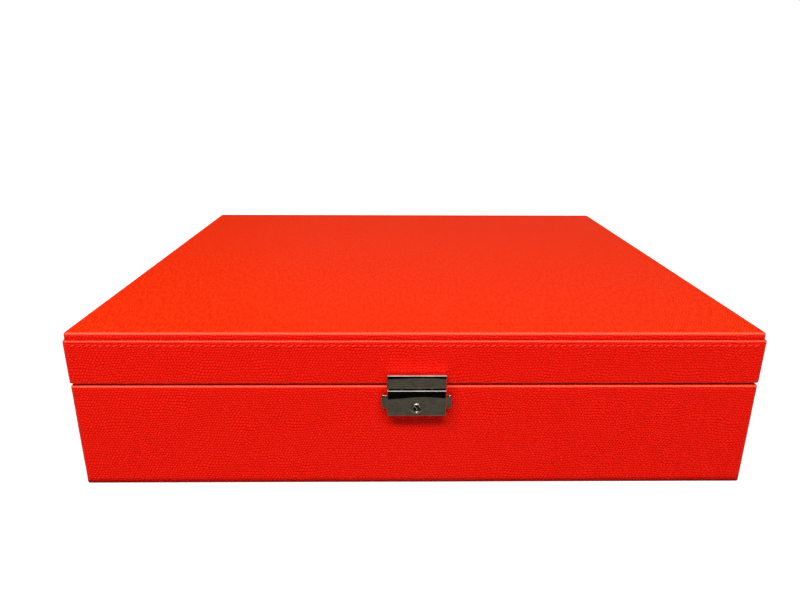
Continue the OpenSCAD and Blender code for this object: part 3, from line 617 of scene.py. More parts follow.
@dataclass(frozen=True)
class Thread(Finish):
    """Twisted sewing thread, with its plies slanting round it.

    Attributes:
        ply, ply_scale: A ply's width in millimetres, and the bands' scale across it.
        fuzz_share, fuzz_roughness: What the fuzz adds to the colour and height, and to the
            roughness.
        relief, bump: The plies' depth in millimetres, and how strongly they bend the light.
    """

    ply: float = 0.45
    ply_scale: float = 0.3
    fuzz_size: float = 0.2
    fuzz_share: float = 0.3
    fuzz_roughness: float = 0.15
    relief: float = 0.06
    bump: float = 0.6
    roughness: float = 0.7
    gloss: float = 0.1

    def paint(self, graph: Graph) -> Material:
        """Draw the thread. Its plies are a band pattern on the stitch's own layout.

        Args:
            graph: An empty node tree.

        Returns:
            The tree's material.
        """
        where = graph.place(Place.SHEET)
        slanted = graph.scaled(where, 1 / self.ply, 1 / self.ply, 1.0)
        settings = {"wave_type": "BANDS", "bands_direction": "DIAGONAL", "wave_profile": "SIN"}
        inputs = {"Vector": slanted, "Scale": self.ply_scale}
        bands = graph.add("ShaderNodeTexWave", settings, inputs, "Fac")
        fuzz = graph.noise(where, self.fuzz_size)
        shade = (1 - self.fuzz_share) * bands + self.fuzz_share * fuzz
        return graph.finish(
            bands + self.fuzz_share * fuzz,
            depth=self.relief,
            strength=self.bump,
            Base_Color=graph.mix(shade, self.dark, self.light),
            Roughness=self.roughness + self.fuzz_roughness * fuzz,
            Specular_IOR_Level=self.gloss,
        )


# Each leather's colours: dark and light grain, then its edge colour, partly a painted highlight,
# and its painted light from above.
RED = (linear(217, 0, 0), linear(252, 36, 18), linear(255, 104, 76), linear(244, 66, 0))
BLACK = (linear(24, 23, 23), linear(42, 40, 40), linear(50, 48, 48), linear(30, 29, 29))
RED_SHEET = Leather("red_leather", *RED, Place.SHEET)
RED_TAB = Leather("red_leather_tab", *RED, Place.BODY)
BLACK_SHEET = Leather(
    "black_leatherette", *BLACK, Place.BODY, relief=0.08, roughness=0.5, gloss=0.04
)
CHARCOAL_SUEDE = Suede("charcoal_suede", linear(32, 31, 34), linear(66, 64, 68))
GUNMETAL = Metal("gunmetal", linear(200, 194, 182), linear(240, 236, 229), 0.008, 0.01)
STEEL = Metal("steel", linear(196, 193, 188), linear(224, 221, 216), 0.12, 0.08)
WOOD = Board("wood_board", linear(136, 104, 72), linear(196, 164, 124))
RED_THREAD = Thread("red_thread", linear(240, 34, 22), linear(255, 92, 66))
GREY_THREAD = Thread("grey_thread", linear(52, 50, 54), linear(98, 96, 102))


@dataclass
class Patch:
    """Grids of points, in millimetres, with a flat layout for the pattern.

    Attributes:
        points: An array of copies × rows × columns × 3.
        flat: The layout of each corner, copies × rows × columns × 2, with a column more where the
            grid wraps round.
        wraps: Whether the last column joins the first.
    """

    points: np.ndarray
    flat: np.ndarray
    wraps: bool = False

    def quads(self) -> tuple[np.ndarray, np.ndarray]:
        """Give each face's four corners.

        Returns:
            The corners as numbers into points, and their places in the layout.
        """
        copies, rows, columns = self.points.shape[:3]
        spans = columns if self.wraps else columns - 1
        copy, row, column = np.indices((copies, rows - 1, spans))
        corners = ((0, 0), (0, 1), (1, 1), (1, 0))
        numbers = [
            (copy * rows + row + down) * columns + (column + along) % columns
            for down, along in corners
        ]
        places = [self.flat[copy, row + down, column + along] for down, along in corners]
        return np.stack(numbers, -1).reshape(-1, 4), np.stack(places, -2).reshape(-1, 4, 2)


def build(name: str, patches: Sequence[Patch], sealed: bool = False) -> Piece:
    """Make one object from patches and weld them where they meet.

    Args:
        name: The piece's name.
        patches: The grids that it is made of.
        sealed: Whether they close into a solid, whose faces are then turned outwards.

    Returns:
        The object, at the origin, with smooth shading and the layout as its UV map.
    """
    vertices = np.concatenate([patch.points.reshape(-1, 3) for patch in patches]) * MM
    starts = np.cumsum([0] + [patch.points[..., 0].size for patch in patches])
    parts = [patch.quads() for patch in patches]
    quads = np.concatenate([numbers + start for (numbers, _), start in zip(parts, starts)])
    places = np.concatenate([flat for _, flat in parts])

    mesh = bpy.data.meshes.new(name)
    mesh.vertices.add(len(vertices))
    mesh.vertices.foreach_set("co", vertices.astype(np.float32).ravel())
    mesh.loops.add(quads.size)
    mesh.loops.foreach_set("vertex_index", quads.astype(np.int32).ravel())
    mesh.polygons.add(len(quads))
    mesh.polygons.foreach_set("loop_start", np.arange(0, quads.size, 4, dtype=np.int32))
    layer = mesh.uv_layers.new(name=GRAIN_UV)
    layer.data.foreach_set("uv", places.astype(np.float32).ravel())
    mesh.update(calc_edges=True)

    shape = bmesh.new()
    shape.from_mesh(mesh)
    bmesh.ops.remove_doubles(shape, verts=shape.verts, dist=WELD * MM)
    if sealed:
        bmesh.ops.recalc_face_normals(shape, faces=shape.faces)
    shape.to_mesh(mesh)
    shape.free()
    return place_mesh(name, mesh)


def place_mesh(name: str, mesh: bpy.types.Mesh, sharp_angle: float = SMOOTH_ANGLE) -> Piece:
    """Put a mesh in the scene with smooth faces and sharp creases.

    Args:
        name: The piece's name.
        mesh: Its mesh.
        sharp_angle: The least angle of a crease, in degrees.

    Returns:
        The object, at the origin.
    """
    mesh.polygons.foreach_set("use_smooth", np.ones(len(mesh.polygons), dtype=bool))
    mesh.set_sharp_from_angle(angle=math.radians(sharp_angle))
    mesh.update()
    piece = bpy.data.objects.new(name, mesh)
    bpy.context.scene.collection.objects.link(piece)
    return piece


def softened_copy(node: str, name: str, radius: float, segments: int = 3) -> Piece:
    """Copy a CAD node and round its edges, to show in its place.

    Args:
        node: The CAD node.
        name: The new piece's name.
        radius: How far the rounding reaches from an edge, in millimetres.
        segments: How many steps the rounding has.

    Returns:
        The copy, which rides on the node's body and replaces the node.
    """
    source = frame["nodes"][node]
    shape = bmesh.new()
    shape.from_mesh(source.data)
    bmesh.ops.remove_doubles(shape, verts=shape.verts, dist=WELD * MM)
    bmesh.ops.dissolve_limit(
        shape,
        angle_limit=math.radians(FLAT_ANGLE),
        use_dissolve_boundaries=False,
        verts=shape.verts,
        edges=shape.edges,
    )
    bmesh.ops.recalc_face_normals(shape, faces=shape.faces)
    mesh = bpy.data.meshes.new(name)
    shape.to_mesh(mesh)
    shape.free()
    piece = place_mesh(name, mesh, EDGE_ANGLE)
    bevel = piece.modifiers.new("edges", "BEVEL")
    bevel.width = radius * MM
    bevel.segments = segments
    bevel.limit_method = "ANGLE"
    bevel.angle_limit = math.radians(EDGE_ANGLE)
    bevel.use_clamp_overlap = True
    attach(piece, source["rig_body"])
    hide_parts(node)
    return piece


def dress(piece: Piece, material: Material) -> Piece:
    """Give a piece its finish.

    Args:
        piece: The piece or CAD node.
        material: Its material.

    Returns:
        The piece.
    """
    if not piece.material_slots:
        piece.data.materials.append(material)
    for index in range(len(piece.material_slots)):
        piece.material_slots[index].material = material
    LOG.info("%s: %d faces, %s", piece.name, len(piece.data.polygons), material.name)
    return piece


def dress_nodes(names: Sequence[str], material: Material) -> None:
    """Give CAD nodes one finish."""
    for name in names:
        dress(frame["nodes"][name], material)


def box_mm(node: str) -> tuple[np.ndarray, np.ndarray]:
    """Give a CAD node's lowest and highest corners, in millimetres."""
    low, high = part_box(node)
    return np.array(low) / MM, np.array(high) / MM


@dataclass(frozen=True)
class Outline:
    """A rectangle with round corners, seen from above, walked counterclockwise from the rear.

    Attributes:
        width, depth: Its outer size.
        radius: The corners' radius.
        step: The spacing of stations along the straight sides.
        marks: More stations along X, each also mirrored.
    """

    width: float
    depth: float
    radius: float
    step: float = 3.0
    marks: tuple[float, ...] = ()
    corner_steps: int = 8

    def lines(self, size: float, marks: Sequence[float]) -> np.ndarray:
        """Give the stations along one straight side.

        Args:
            size: The outline's width or depth.
            marks: More stations, each also mirrored.

        Returns:
            The stations, from low to high and alike on both sides of the middle.
        """
        reach = size / 2 - self.radius
        count = 2 * math.ceil(reach / self.step) + 1
        extra = [sign * mark for mark in marks for sign in (-1, 1)]
        return np.unique(np.round(np.concatenate([np.linspace(-reach, reach, count), extra]), 5))

    def stations(self) -> tuple[np.ndarray, np.ndarray]:
        """Walk round the outline.

        Returns:
            The skeleton point of each station, on the rectangle through the corners' centres, and
            the station's outward direction.
        """
        xs, ys = self.lines(self.width, self.marks), self.lines(self.depth, ())
        half_w, half_d = self.width / 2 - self.radius, self.depth / 2 - self.radius
        turns = np.linspace(0, math.pi / 2, self.corner_steps + 1)[1:-1]
        skeleton, outward = [], []

        def side(points: np.ndarray, direction: tuple[float, float]) -> None:
            """Add a straight side that faces one way."""
            skeleton.append(points)
            outward.append(np.tile(direction, (len(points), 1)))

        def corner(x: float, y: float, start: float) -> None:
            """Add a quarter turn about a corner's centre."""
            skeleton.append(np.tile((x, y), (len(turns), 1)))
            outward.append(joined(np.cos(start + turns), np.sin(start + turns)))

        rear = joined(xs[::-1], half_d)
        middle = len(xs) // 2
        side(rear[middle:], (0, 1))
        corner(-half_w, half_d, math.pi / 2)
        side(joined(-half_w, ys[::-1]), (-1, 0))
        corner(-half_w, -half_d, math.pi)
        side(joined(xs, -half_d), (0, -1))
        corner(half_w, -half_d, 1.5 * math.pi)
        side(joined(half_w, ys), (1, 0))
        corner(half_w, half_d, 0)
        side(rear[:middle], (0, 1))
        return np.concatenate(skeleton), np.concatenate(outward)

    def at(self, inset: np.ndarray) -> np.ndarray:
        """Give every station's place on the outline drawn in by each inset.

        Within the corner's radius a station moves along its outward direction. Past it the
        corner is a mitre, so the skeleton is clipped to the smaller rectangle.

        Args:
            inset: How far in each ring lies. Rings outside the outline are negative.

        Returns:
            An array of rings × stations × 2.
        """
        skeleton, outward = self.stations()
        inset = np.asarray(inset, float)[:, None, None]
        half = np.array([self.width / 2, self.depth / 2])
        reach = half - np.maximum(inset, self.radius)
        return np.clip(skeleton, -reach, reach) + np.maximum(self.radius - inset, 0) * outward

    def walked(self) -> np.ndarray:
        """Measure the walk round the outline.

        Returns:
            The distance to each station, and at the end the one round to the first again.
        """
        ring = self.at(np.zeros(1))[0]
        steps = np.linalg.norm(np.diff(ring, axis=0, append=ring[:1]), axis=1)
        return np.concatenate([[0], np.cumsum(steps)])

    def grid(self, inset: float) -> tuple[np.ndarray, np.ndarray]:
        """Give the crossing lines of the flat middle.

        Args:
            inset: The inset of the ring that they meet.

        Returns:
            The x and the y of each crossing, as two grids.
        """

        def within(lines: np.ndarray, size: float) -> np.ndarray:
            """Draw the lines in to the ring."""
            return np.unique(np.round(np.clip(lines, inset - size / 2, size / 2 - inset), 5))

        xs = within(self.lines(self.width, self.marks), self.width)
        ys = within(self.lines(self.depth, ()), self.depth)
        return np.meshgrid(xs, ys)


@dataclass(frozen=True)
class Profile:
    """A line of insets and heights that an outline carries round, with its length along it."""

    inset: np.ndarray
    height: np.ndarray

    @staticmethod
    def of(*pieces: np.ndarray) -> "Profile":
        """Join stretches of points, each an array of insets and heights."""
        points = np.concatenate(pieces)
        return Profile(points[:, 0], points[:, 1])

    @staticmethod
    def line(start: tuple[float, float], end: tuple[float, float], step: float) -> np.ndarray:
        """Give evenly spaced points along a line.

        Args:
            start, end: Its ends. The end itself is left out.
            step: The most that lies between two points.

        Returns:
            The points.
        """
        count = max(1, math.ceil(math.dist(start, end) / step))
        share = np.arange(count)[:, None] / count
        return (1 - share) * np.array(start) + share * np.array(end)

    @staticmethod
    def roll(centre: tuple[float, float], radius: float, start: float, end: float) -> np.ndarray:
        """Give an arc about a centre, from one angle to another, in degrees. 0 points outwards."""
        angle = np.radians(np.linspace(start, end, ROLL_STEPS + 1))
        return joined(centre[0] - radius * np.cos(angle), centre[1] + radius * np.sin(angle))

    @staticmethod
    def over(
        bottom: float, top: float, radius: float, inner: float, steps: tuple[float, float]
    ) -> np.ndarray:
        """Go up a wall, over its rolled top edge and flat in.

        Args:
            bottom, top: The wall's heights.
            radius: The roll's radius.
            inner: The inset where the flat ends.
            steps: The spacing of points on the wall and on the flat.

        Returns:
            The points.
        """
        wall = Profile.line((0, bottom), (0, top - radius), steps[0])
        roll = Profile.roll((radius, top - radius), radius, 0, 90)
        flat = Profile.line((radius, top), (inner, top), steps[1])[1:]
        return np.concatenate([wall, roll, flat, [(inner, top)]])

    def length(self) -> np.ndarray:
        """Give the length along the profile at each point."""
        steps = np.hypot(np.diff(self.inset), np.diff(self.height))
        return np.concatenate([[0], np.cumsum(steps)])


def carry(outline: Outline, profile: Profile) -> Patch:
    """Carry a profile round an outline.

    Args:
        outline: The outline, seen from above.
        profile: The insets and heights of its rings.

    Returns:
        The patch, laid out by distance round and length along.
    """
    x, y = np.moveaxis(outline.at(profile.inset), -1, 0)
    points = joined(x, y, profile.height[:, None])
    flat = joined(outline.walked(), profile.length()[:, None])
    return Patch(points[None], flat[None], wraps=True)


def wander(across: np.ndarray, along: np.ndarray) -> np.ndarray:
    """Give a hand-covered surface its faint waves: the sum of three slow sines.

    Args:
        across, along: Places on the surface, in millimetres.

    Returns:
        The waves, between -1 and 1.
    """
    waves = (
        np.sin(across / 31 + 0.8 * np.sin(along / 19))
        + 0.7 * np.sin(across / 13 + along / 23 + 1.3)
        + 0.5 * np.sin(along / 11 - across / 57 + 2.1)
    )
    return waves / 2.2


def stitches(
    name: str,
    middles: np.ndarray,
    along: np.ndarray,
    up: np.ndarray,
    length: float,
    radius: float,
    slant: float = 0.0,
) -> Piece:
    """Make a row of stitches.

    Each stitch is a tube round a line that rises out of the surface and dips back into it. Its
    radius falls to nothing at both ends.

    Args:
        name: The piece's name.
        middles: The middle of each stitch on the surface, n × 3.
        along, up: Each stitch's direction and the surface's, n × 3.
        length, radius: The size of a stitch.
        slant: How far the stitch leans off its row, in degrees.

    Returns:
        The object, with all the stitches.
    """
    share = np.linspace(-1, 1, STITCH_RINGS)[None, :, None, None]
    turn = np.linspace(0, math.tau, STITCH_SIDES + 1)
    angle = turn[None, None, :-1, None]
    side = np.cross(up, along)
    middles, along, up, side = (a[:, None, None, :] for a in (middles, along, up, side))
    thickness = radius * np.sqrt(1 - share**4)
    lift = radius * (STITCH_RISE - STITCH_DIP * share**4)
    lean = share * length / 2 * math.tan(math.radians(slant))
    points = (
        middles
        + along * share * length / 2
        + up * (lift + thickness * np.cos(angle))
        + side * (lean + thickness * np.sin(angle))
    )
    flat = joined(share[..., 0] * length / 2, radius * turn)
    flat = np.broadcast_to(flat, (len(points), *flat.shape[1:]))
    return build(name, [Patch(points, flat, wraps=True)], sealed=True)


@dataclass
class HingeSeats:
    """The shallow seats that the hinge leaves press into the leather of both rims."""

    inner_margin: float = 0.15
    leaf_gap: float = 0.4
    leaf_thickness: float = 1.0
    clearance: float = 0.03
    slope: float = 0.7
    reach: float = 3.0

    def __post_init__(self) -> None:
        """Read the hinges' places from the frame."""
        low, high = box_mm("hinge_base_leaf_right")
        self.start, self.end = low[0] - self.inner_margin, high[0] + self.inner_margin
        self.inner_y = low[1]
        low, high = box_mm("hinge_pin_right")
        self.axis_z = (low[2] + high[2]) / 2

    def marks(self) -> tuple[float, ...]:
        """Give the stations that the seats' edges need."""
        offsets = (0.0, self.slope / 2, self.slope)
        return tuple([self.start - o for o in offsets] + [self.end + o for o in offsets])

    def press(self, points: np.ndarray, above: bool) -> np.ndarray:
        """Press the leather down, or up on the lid, where a leaf lies.

        Args:
            points: The leather's points.
            above: Whether they belong to the lid, above the leaves.

        Returns:
            The pressed points.
        """
        x, y, z = (points[..., axis] for axis in range(3))
        share = smooth(np.abs(x), self.start - self.slope, self.start)
        share = share * (1 - smooth(np.abs(x), self.end, self.end + self.slope))
        share = share * smooth(y, self.inner_y - self.slope, self.inner_y)
        half = self.leaf_gap / 2 + self.leaf_thickness + self.clearance
        seat = np.maximum(z, self.axis_z + half) if above else np.minimum(z, self.axis_z - half)
        near = np.abs(z - self.axis_z) < self.reach
        pressed = points.copy()
        pressed[..., 2] = np.where(near, z + (seat - z) * share, z)
        return pressed


@dataclass
class CaseLeather:
    """The three red leather skins and the row of stitches under the ledge.

    Attributes:
        thickness: The leather's. Rolls are the radii of its edges, and flanges the insets to
            which it is turned in.
        wall_step, flange_step, ledge_step, panel_steps: The spacing of points on its stretches.
        waves, wave_margin, wave_fade: The waves' height, and where they die out.
        wall_band: How near its outer side a point still belongs to the wall.
        flat_inset: Where the top's border meets its flat middle.
    """

    corner_radius: float = 2.6
    rim_roll: float = 1.2
    lid_rim_roll: float = 0.8
    ledge_roll: float = 1.0
    panel_roll: float = 1.8
    thickness: float = 1.15
    base_flange: float = 9.1
    lid_flange: float = 7.8
    ledge_flange: float = 6.0
    wall_step: float = 4.0
    flange_step: float = 1.0
    ledge_step: float = 2.0
    panel_steps: tuple[float, float] = (1.0, 1.5)
    waves: float = 0.09
    wave_margin: float = 8.0
    wave_fade: tuple[float, float] = (3.0, 20.0)
    wall_band: float = 1.0
    flat_inset: float = 6.0
    stitch_drop: float = 3.1
    stitch_pitch: float = 4.1
    stitch_length: float = 3.1
    stitch_radius: float = 0.27
    stitch_slant: float = 14.0
    corner_margin: float = 4.0

    def outline(self, node: str, marks: tuple[float, ...] = ()) -> tuple[Outline, float, float]:
        """Give a skin's outline and heights, from its CAD node.

        Args:
            node: The leather's CAD node.
            marks: More stations that the outline needs along X.

        Returns:
            The outline, and the lowest and the highest height.
        """
        low, high = box_mm(node)
        width, depth, _ = high - low
        return Outline(width, depth, self.corner_radius, marks=marks), low[2], high[2]

    def add_waves(self, patch: Patch, bottom: float, top: float) -> None:
        """Push the walls in and out by faint waves that die out at their rolled edges.

        Args:
            patch: The leather, whose points are changed.
            bottom, top: The walls' heights.
        """
        across, along = patch.flat[0, :, :-1, 0], patch.flat[0, :, :-1, 1]
        place, z = patch.points[0, ..., :2], patch.points[0, ..., 2]
        share = smooth(z, bottom, bottom + self.wave_margin)
        share = share * (1 - smooth(z, top - self.wave_margin, top))
        on_wall = np.abs(place) > np.abs(place).max((0, 1)) - self.wall_band
        outward = np.sign(np.where(on_wall, place, 0))
        place += outward * (self.waves * wander(across, along) * share)[..., None]

    def skin(self, node: str, body: str, patches: list[Patch]) -> Piece:
        """Build an open skin in place of a CAD node, and give it its thickness inwards.

        Args:
            node: The leather's CAD node.
            body: The body that it rides on.
            patches: The grids of its outer side.

        Returns:
            The skin.
        """
        piece = build(node.replace("leather", "skin"), patches)
        normals, spots = np.zeros((2, 3 * len(piece.data.polygons)))
        piece.data.polygons.foreach_get("normal", normals)
        piece.data.polygons.foreach_get("center", spots)
        spots = spots.reshape(-1, 3) - (0, 0, np.mean(patches[0].points[..., 2]) * MM)
        if np.sum(normals.reshape(-1, 3) * spots) < 0:
            piece.data.flip_normals()
        self.mark_edges(piece)
        shell = piece.modifiers.new("thickness", "SOLIDIFY")
        shell.thickness = self.thickness * MM
        shell.offset = -1
        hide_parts(node)
        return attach(piece, body)

    @staticmethod
    def mark_edges(piece: Piece) -> None:
        """Mark where the leather is stretched over an edge, which takes a painted highlight, and
        where it faces up, which takes painted light from above.

        The first mark is four times the sum of the products of the normal's squared parts, taken
        in pairs. It is 0 on every flat side and 1 halfway round the roll between two of them,
        or a third at an upright corner. The second is the normal's squared Z.

        Args:
            piece: The skin, which gets the two attributes.
        """
        normals = np.zeros(3 * len(piece.data.vertices))
        piece.data.vertices.foreach_get("normal", normals)
        x, y, z = (normals.reshape(-1, 3) ** 2).T
        # The first mark carries a painted highlight on the rolls, the second painted light from
        # above.
        stretch = np.minimum(4 * (x * y / 3 + y * z + z * x), 1)
        top_light = np.where(normals[2::3] > 0, z, 0)
        for name, values in ((STRETCH_AND_HIGHLIGHT, stretch), (TOP_LIGHT, top_light)):
            mark = piece.data.attributes.new(name, "FLOAT", "POINT")
            mark.data.foreach_set("value", values.astype(np.float32))

    def wall_skin(self, body: str, seats: HingeSeats) -> Piece:
        """Make the base's or the lid's skin: up the wall, over its top edge's roll and flat in.

        The lid's skin starts flat under its rim, and rolls out to the wall from there.

        Args:
            body: Base or lid.
            seats: The hinges' seats, which both skins make room for.

        Returns:
            The skin.
        """
        node, on_lid = f"{body}_leather", body == "lid"
        outline, bottom, top = self.outline(node, seats.marks())
        if on_lid:
            r, steps = self.lid_rim_roll, (self.wall_step, self.ledge_step)
            profile = Profile.of(
                Profile.line((self.lid_flange, bottom), (r, bottom), self.flange_step),
                Profile.roll((r, bottom + r), r, -90, 0),
                Profile.over(bottom + r, top, self.ledge_roll, self.ledge_flange, steps)[1:],
            )
        else:
            steps = (self.wall_step, self.flange_step)
            over = Profile.over(bottom, top, self.rim_roll, self.base_flange, steps)
            profile = Profile.of(over)
        patch = carry(outline, profile)
        self.add_waves(patch, bottom, top)
        patch.points = seats.press(patch.points, above=on_lid)
        return self.skin(node, body, [patch])

    def top_skin(self) -> Piece:
        """Make the top panel's skin: one sheet over the panel, its roll and its low sides.

        Its layout is the sheet laid flat again, so the grain runs on over the edges. Faint waves
        sink its flat middle.

        Returns:
            The skin.
        """
        outline, bottom, top = self.outline("top_panel_leather")
        inner = self.flat_inset
        profile = Profile.of(Profile.over(bottom, top, self.panel_roll, inner, self.panel_steps))
        border = carry(outline, profile)
        flat = outline.at(inner - (profile.length()[-1] - profile.length()))
        border.flat = np.concatenate([flat, flat[:, :1]], 1)[None]
        x, y = outline.grid(inner)
        middle = Patch(joined(x, y, top)[None], joined(x, y)[None])
        for patch in (border, middle):
            x, y, z = (patch.points[..., axis] for axis in range(3))
            edge = np.minimum(outline.width / 2 - np.abs(x), outline.depth / 2 - np.abs(y))
            sag = self.waves * (wander(x, y) - 1) * smooth(edge, *self.wave_fade)
            patch.points[..., 2] = z + sag
        return self.skin("top_panel_leather", "lid", [border, middle])

    def ledge_stitches(self) -> Piece:
        """Sew a row round the lid, a little below the ledge, evenly spaced along each side.

        Returns:
            The stitches.
        """
        half = box_mm("lid_leather")[1]
        rows = []
        for axis, sign in ((0, -1), (0, 1), (1, -1), (1, 1)):
            reach = half[axis] - self.corner_radius - self.corner_margin
            count = round(2 * reach / self.stitch_pitch)
            middle, up = np.zeros((2, count, 3))
            middle[:, axis] = np.linspace(-reach, reach, count)
            middle[:, 1 - axis] = sign * half[1 - axis]
            middle[:, 2] = half[2] - self.stitch_drop
            up[:, 1 - axis] = sign
            rows.append((middle, np.cross((0.0, 0.0, 1.0), up), up))
        parts = [np.concatenate(part) for part in zip(*rows)]
        size = (self.stitch_length, self.stitch_radius, self.stitch_slant)
        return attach(stitches("ledge_stitches", *parts, *size), "lid")

    def make(self) -> None:
        """Build the skins and the stitches, and dress them."""
        seats = HingeSeats()
        skins = [self.wall_skin(body, seats) for body in ("base", "lid")]
        for piece in (*skins, self.top_skin()):
            dress(piece, RED_SHEET.material())
        dress(self.ledge_stitches(), RED_THREAD.material())


@dataclass
class Carcass:
    """The wood boards, the sheet under the base and the flat suede linings."""

    def make(self) -> None:
        """Dress the CAD nodes whose shape is already right."""
        sides = ("front", "rear", "left", "right")
        places = [(half, side) for half in ("base", "lid") for side in sides]
        walls = [f"{half}_{side}_board" for half, side in places]
        linings = [f"{half}_liner_{side}" for half, side in places]
        floors = ["base_floor_board", "lid_top_board", "top_panel_board"]
        dress_nodes([*walls, *floors], WOOD.material())
        dress_nodes(["base_underside"], BLACK_SHEET.material())
        dress_nodes([*linings, "floor_lining"], CHARCOAL_SUEDE.material())


@dataclass
class QuiltedPad:
    """The lid's pad: suede sewn down along crossing diagonals, swelling between the seams.

    Attributes:
        steps_x, steps_y, diamond: Steps across the face each way, and how many a diamond takes.
        crown, puff: How far the whole face and each diamond swell.
        edge_round, corner_radius, side_pull: The rounds at its edge and corners, and how far its
            sides pull in.
        edge_steps, edge_flat: The rings round its edge, and how far the last lies on the face.
        grid_step: The spacing of points on the face.
        stitch_margin, puff_margin: How far from the edge the seams end and the swelling starts.
    """

    steps_x: int = 32
    steps_y: int = 28
    diamond: int = 4
    crown: float = 1.2
    puff: float = 2.8
    edge_round: float = 4.0
    corner_radius: float = 4.0
    side_pull: float = 0.8
    grid_step: float = 2.4
    stitch_pitch: float = 5.2
    stitch_length: float = 3.6
    stitch_radius: float = 0.32
    stitch_margin: float = 7.0
    puff_margin: float = 9.0
    edge_steps: int = 6
    edge_flat: float = 3.0

    def __post_init__(self) -> None:
        """Read the pad's room from the frame."""
        low, high = box_mm("lid_pad")
        self.width, self.depth = high[0] - low[0], high[1] - low[1]
        self.back = high[2]
        self.edge_z = low[2] + self.crown + self.puff

    def face_height(self, x: np.ndarray, y: np.ndarray) -> np.ndarray:
        """Give the height of the quilted face, which looks down.

        It hangs below the edge by a crown, a sine arch each way, and by a puff, the root of the
        product of two sines that are nothing on the seams. Near the edge it curls up in a round.

        Args:
            x, y: Places on the face.

        Returns:
            The heights there.
        """
        across, down = x / self.width + 0.5, y / self.depth + 0.5
        i, j = across * self.steps_x, down * self.steps_y
        arch = np.sin(np.pi * np.clip(across, 0, 1)) * np.sin(np.pi * np.clip(down, 0, 1))
        turn = np.pi / self.diamond
        seams = np.sin(turn * (i + j)) * np.sin(turn * (i - j))
        edge = np.minimum(self.width / 2 - np.abs(x), self.depth / 2 - np.abs(y))
        puff = self.puff * np.sqrt(np.abs(seams)) * smooth(edge, 0.0, self.puff_margin)
        inside = np.clip(self.edge_round - edge, 0, self.edge_round)
        curl = self.edge_round - np.sqrt(self.edge_round**2 - inside**2)
        return self.edge_z - self.crown * arch - puff + curl

    def body(self) -> Piece:
        """Make the closed pad: its quilted face, sides that pull in between, and its flat back.

        Returns:
            The pad.
        """
        outline = Outline(self.width, self.depth, self.corner_radius, self.grid_step)
        share = np.linspace(0, 1, self.edge_steps + 1)
        inset = self.edge_round * (1 - np.cos(np.pi / 2 * share))
        inset = np.append(inset, self.edge_round + self.edge_flat)
        x, y = np.moveaxis(outline.at(inset), -1, 0)
        face = joined(x, y, self.face_height(x, y))
        x, y = np.moveaxis(outline.at(self.side_pull * np.sin(np.pi * share)), -1, 0)
        rim_z = face[0, :, 2]
        sides = joined(x, y, rim_z + (self.back - rim_z) * share[:, None])
        x, y = np.moveaxis(outline.at(inset[[0, -1]]), -1, 0)
        back = joined(x, y, self.back)
        patches = [self.wrapped(part) for part in (face, sides, back)]
        x, y = outline.grid(inset[-1])
        for height in (self.face_height(x, y), self.back):
            patches.append(Patch(joined(x, y, height)[None], joined(x, y)[None]))
        piece = build("quilted_pad", patches, sealed=True)
        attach(piece, "lid")
        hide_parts("lid_pad")
        return piece

    @staticmethod
    def wrapped(points: np.ndarray) -> Patch:
        """Close rings of points into a patch laid out by their places from above."""
        flat = np.concatenate([points, points[:, :1]], 1)[..., :2]
        return Patch(points[None], flat[None], wraps=True)

    def seams(self) -> Piece:
        """Sew the diagonals, from margin to margin.

        Returns:
            The stitches.
        """
        cell = np.array([self.width / self.steps_x, self.depth / self.steps_y])
        reach = np.array([self.width, self.depth]) / 2 - self.stitch_margin
        count = int(2 * math.hypot(*reach) / self.stitch_pitch)
        places = (np.arange(count) - count / 2 + 0.5) * self.stitch_pitch
        lines = self.steps_x + self.steps_y
        starts = self.diamond * cell[0] * np.arange(-lines, lines)
        middles, directions = [], []
        for lean in (1, -1):
            direction = cell * (1, lean) / np.linalg.norm(cell)
            points = places[:, None] * direction + joined(starts, 0.0)[:, None]
            kept = points[(np.abs(points) < reach).all(-1)]
            middles.append(kept)
            directions.append(np.tile((*direction, 0.0), (len(kept), 1)))
        x, y = np.concatenate(middles).T
        middle = joined(x, y, self.face_height(x, y) + self.stitch_radius)
        up = np.tile((0.0, 0.0, -1.0), (len(x), 1))
        size = (self.stitch_length, self.stitch_radius)
        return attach(stitches("pad_seams", middle, np.concatenate(directions), up, *size), "lid")

    def make(self) -> None:
        """Build the pad and its seams, and dress them."""
        dress(self.body(), CHARCOAL_SUEDE.material())
        dress(self.seams(), GREY_THREAD.material())


@dataclass
class LiftOutTrays:
    """The two chip trays, the centre tray and their leather pulls."""

    edge: float = 0.9
    pull_edge: float = 0.35

    def make(self) -> None:
        """Round the wrapped edges, and dress the trays and pulls."""
        suede, leather = CHARCOAL_SUEDE.material(), RED_TAB.material()
        for node in ("chip_tray_left", "chip_tray_right", "centre_tray"):
            dress(softened_copy(node, f"{node}_suede", self.edge), suede)
        for side in ("left", "centre", "right"):
            node = f"tray_pull_{side}"
            dress(softened_copy(node, f"{node}_tab", self.pull_edge), leather)


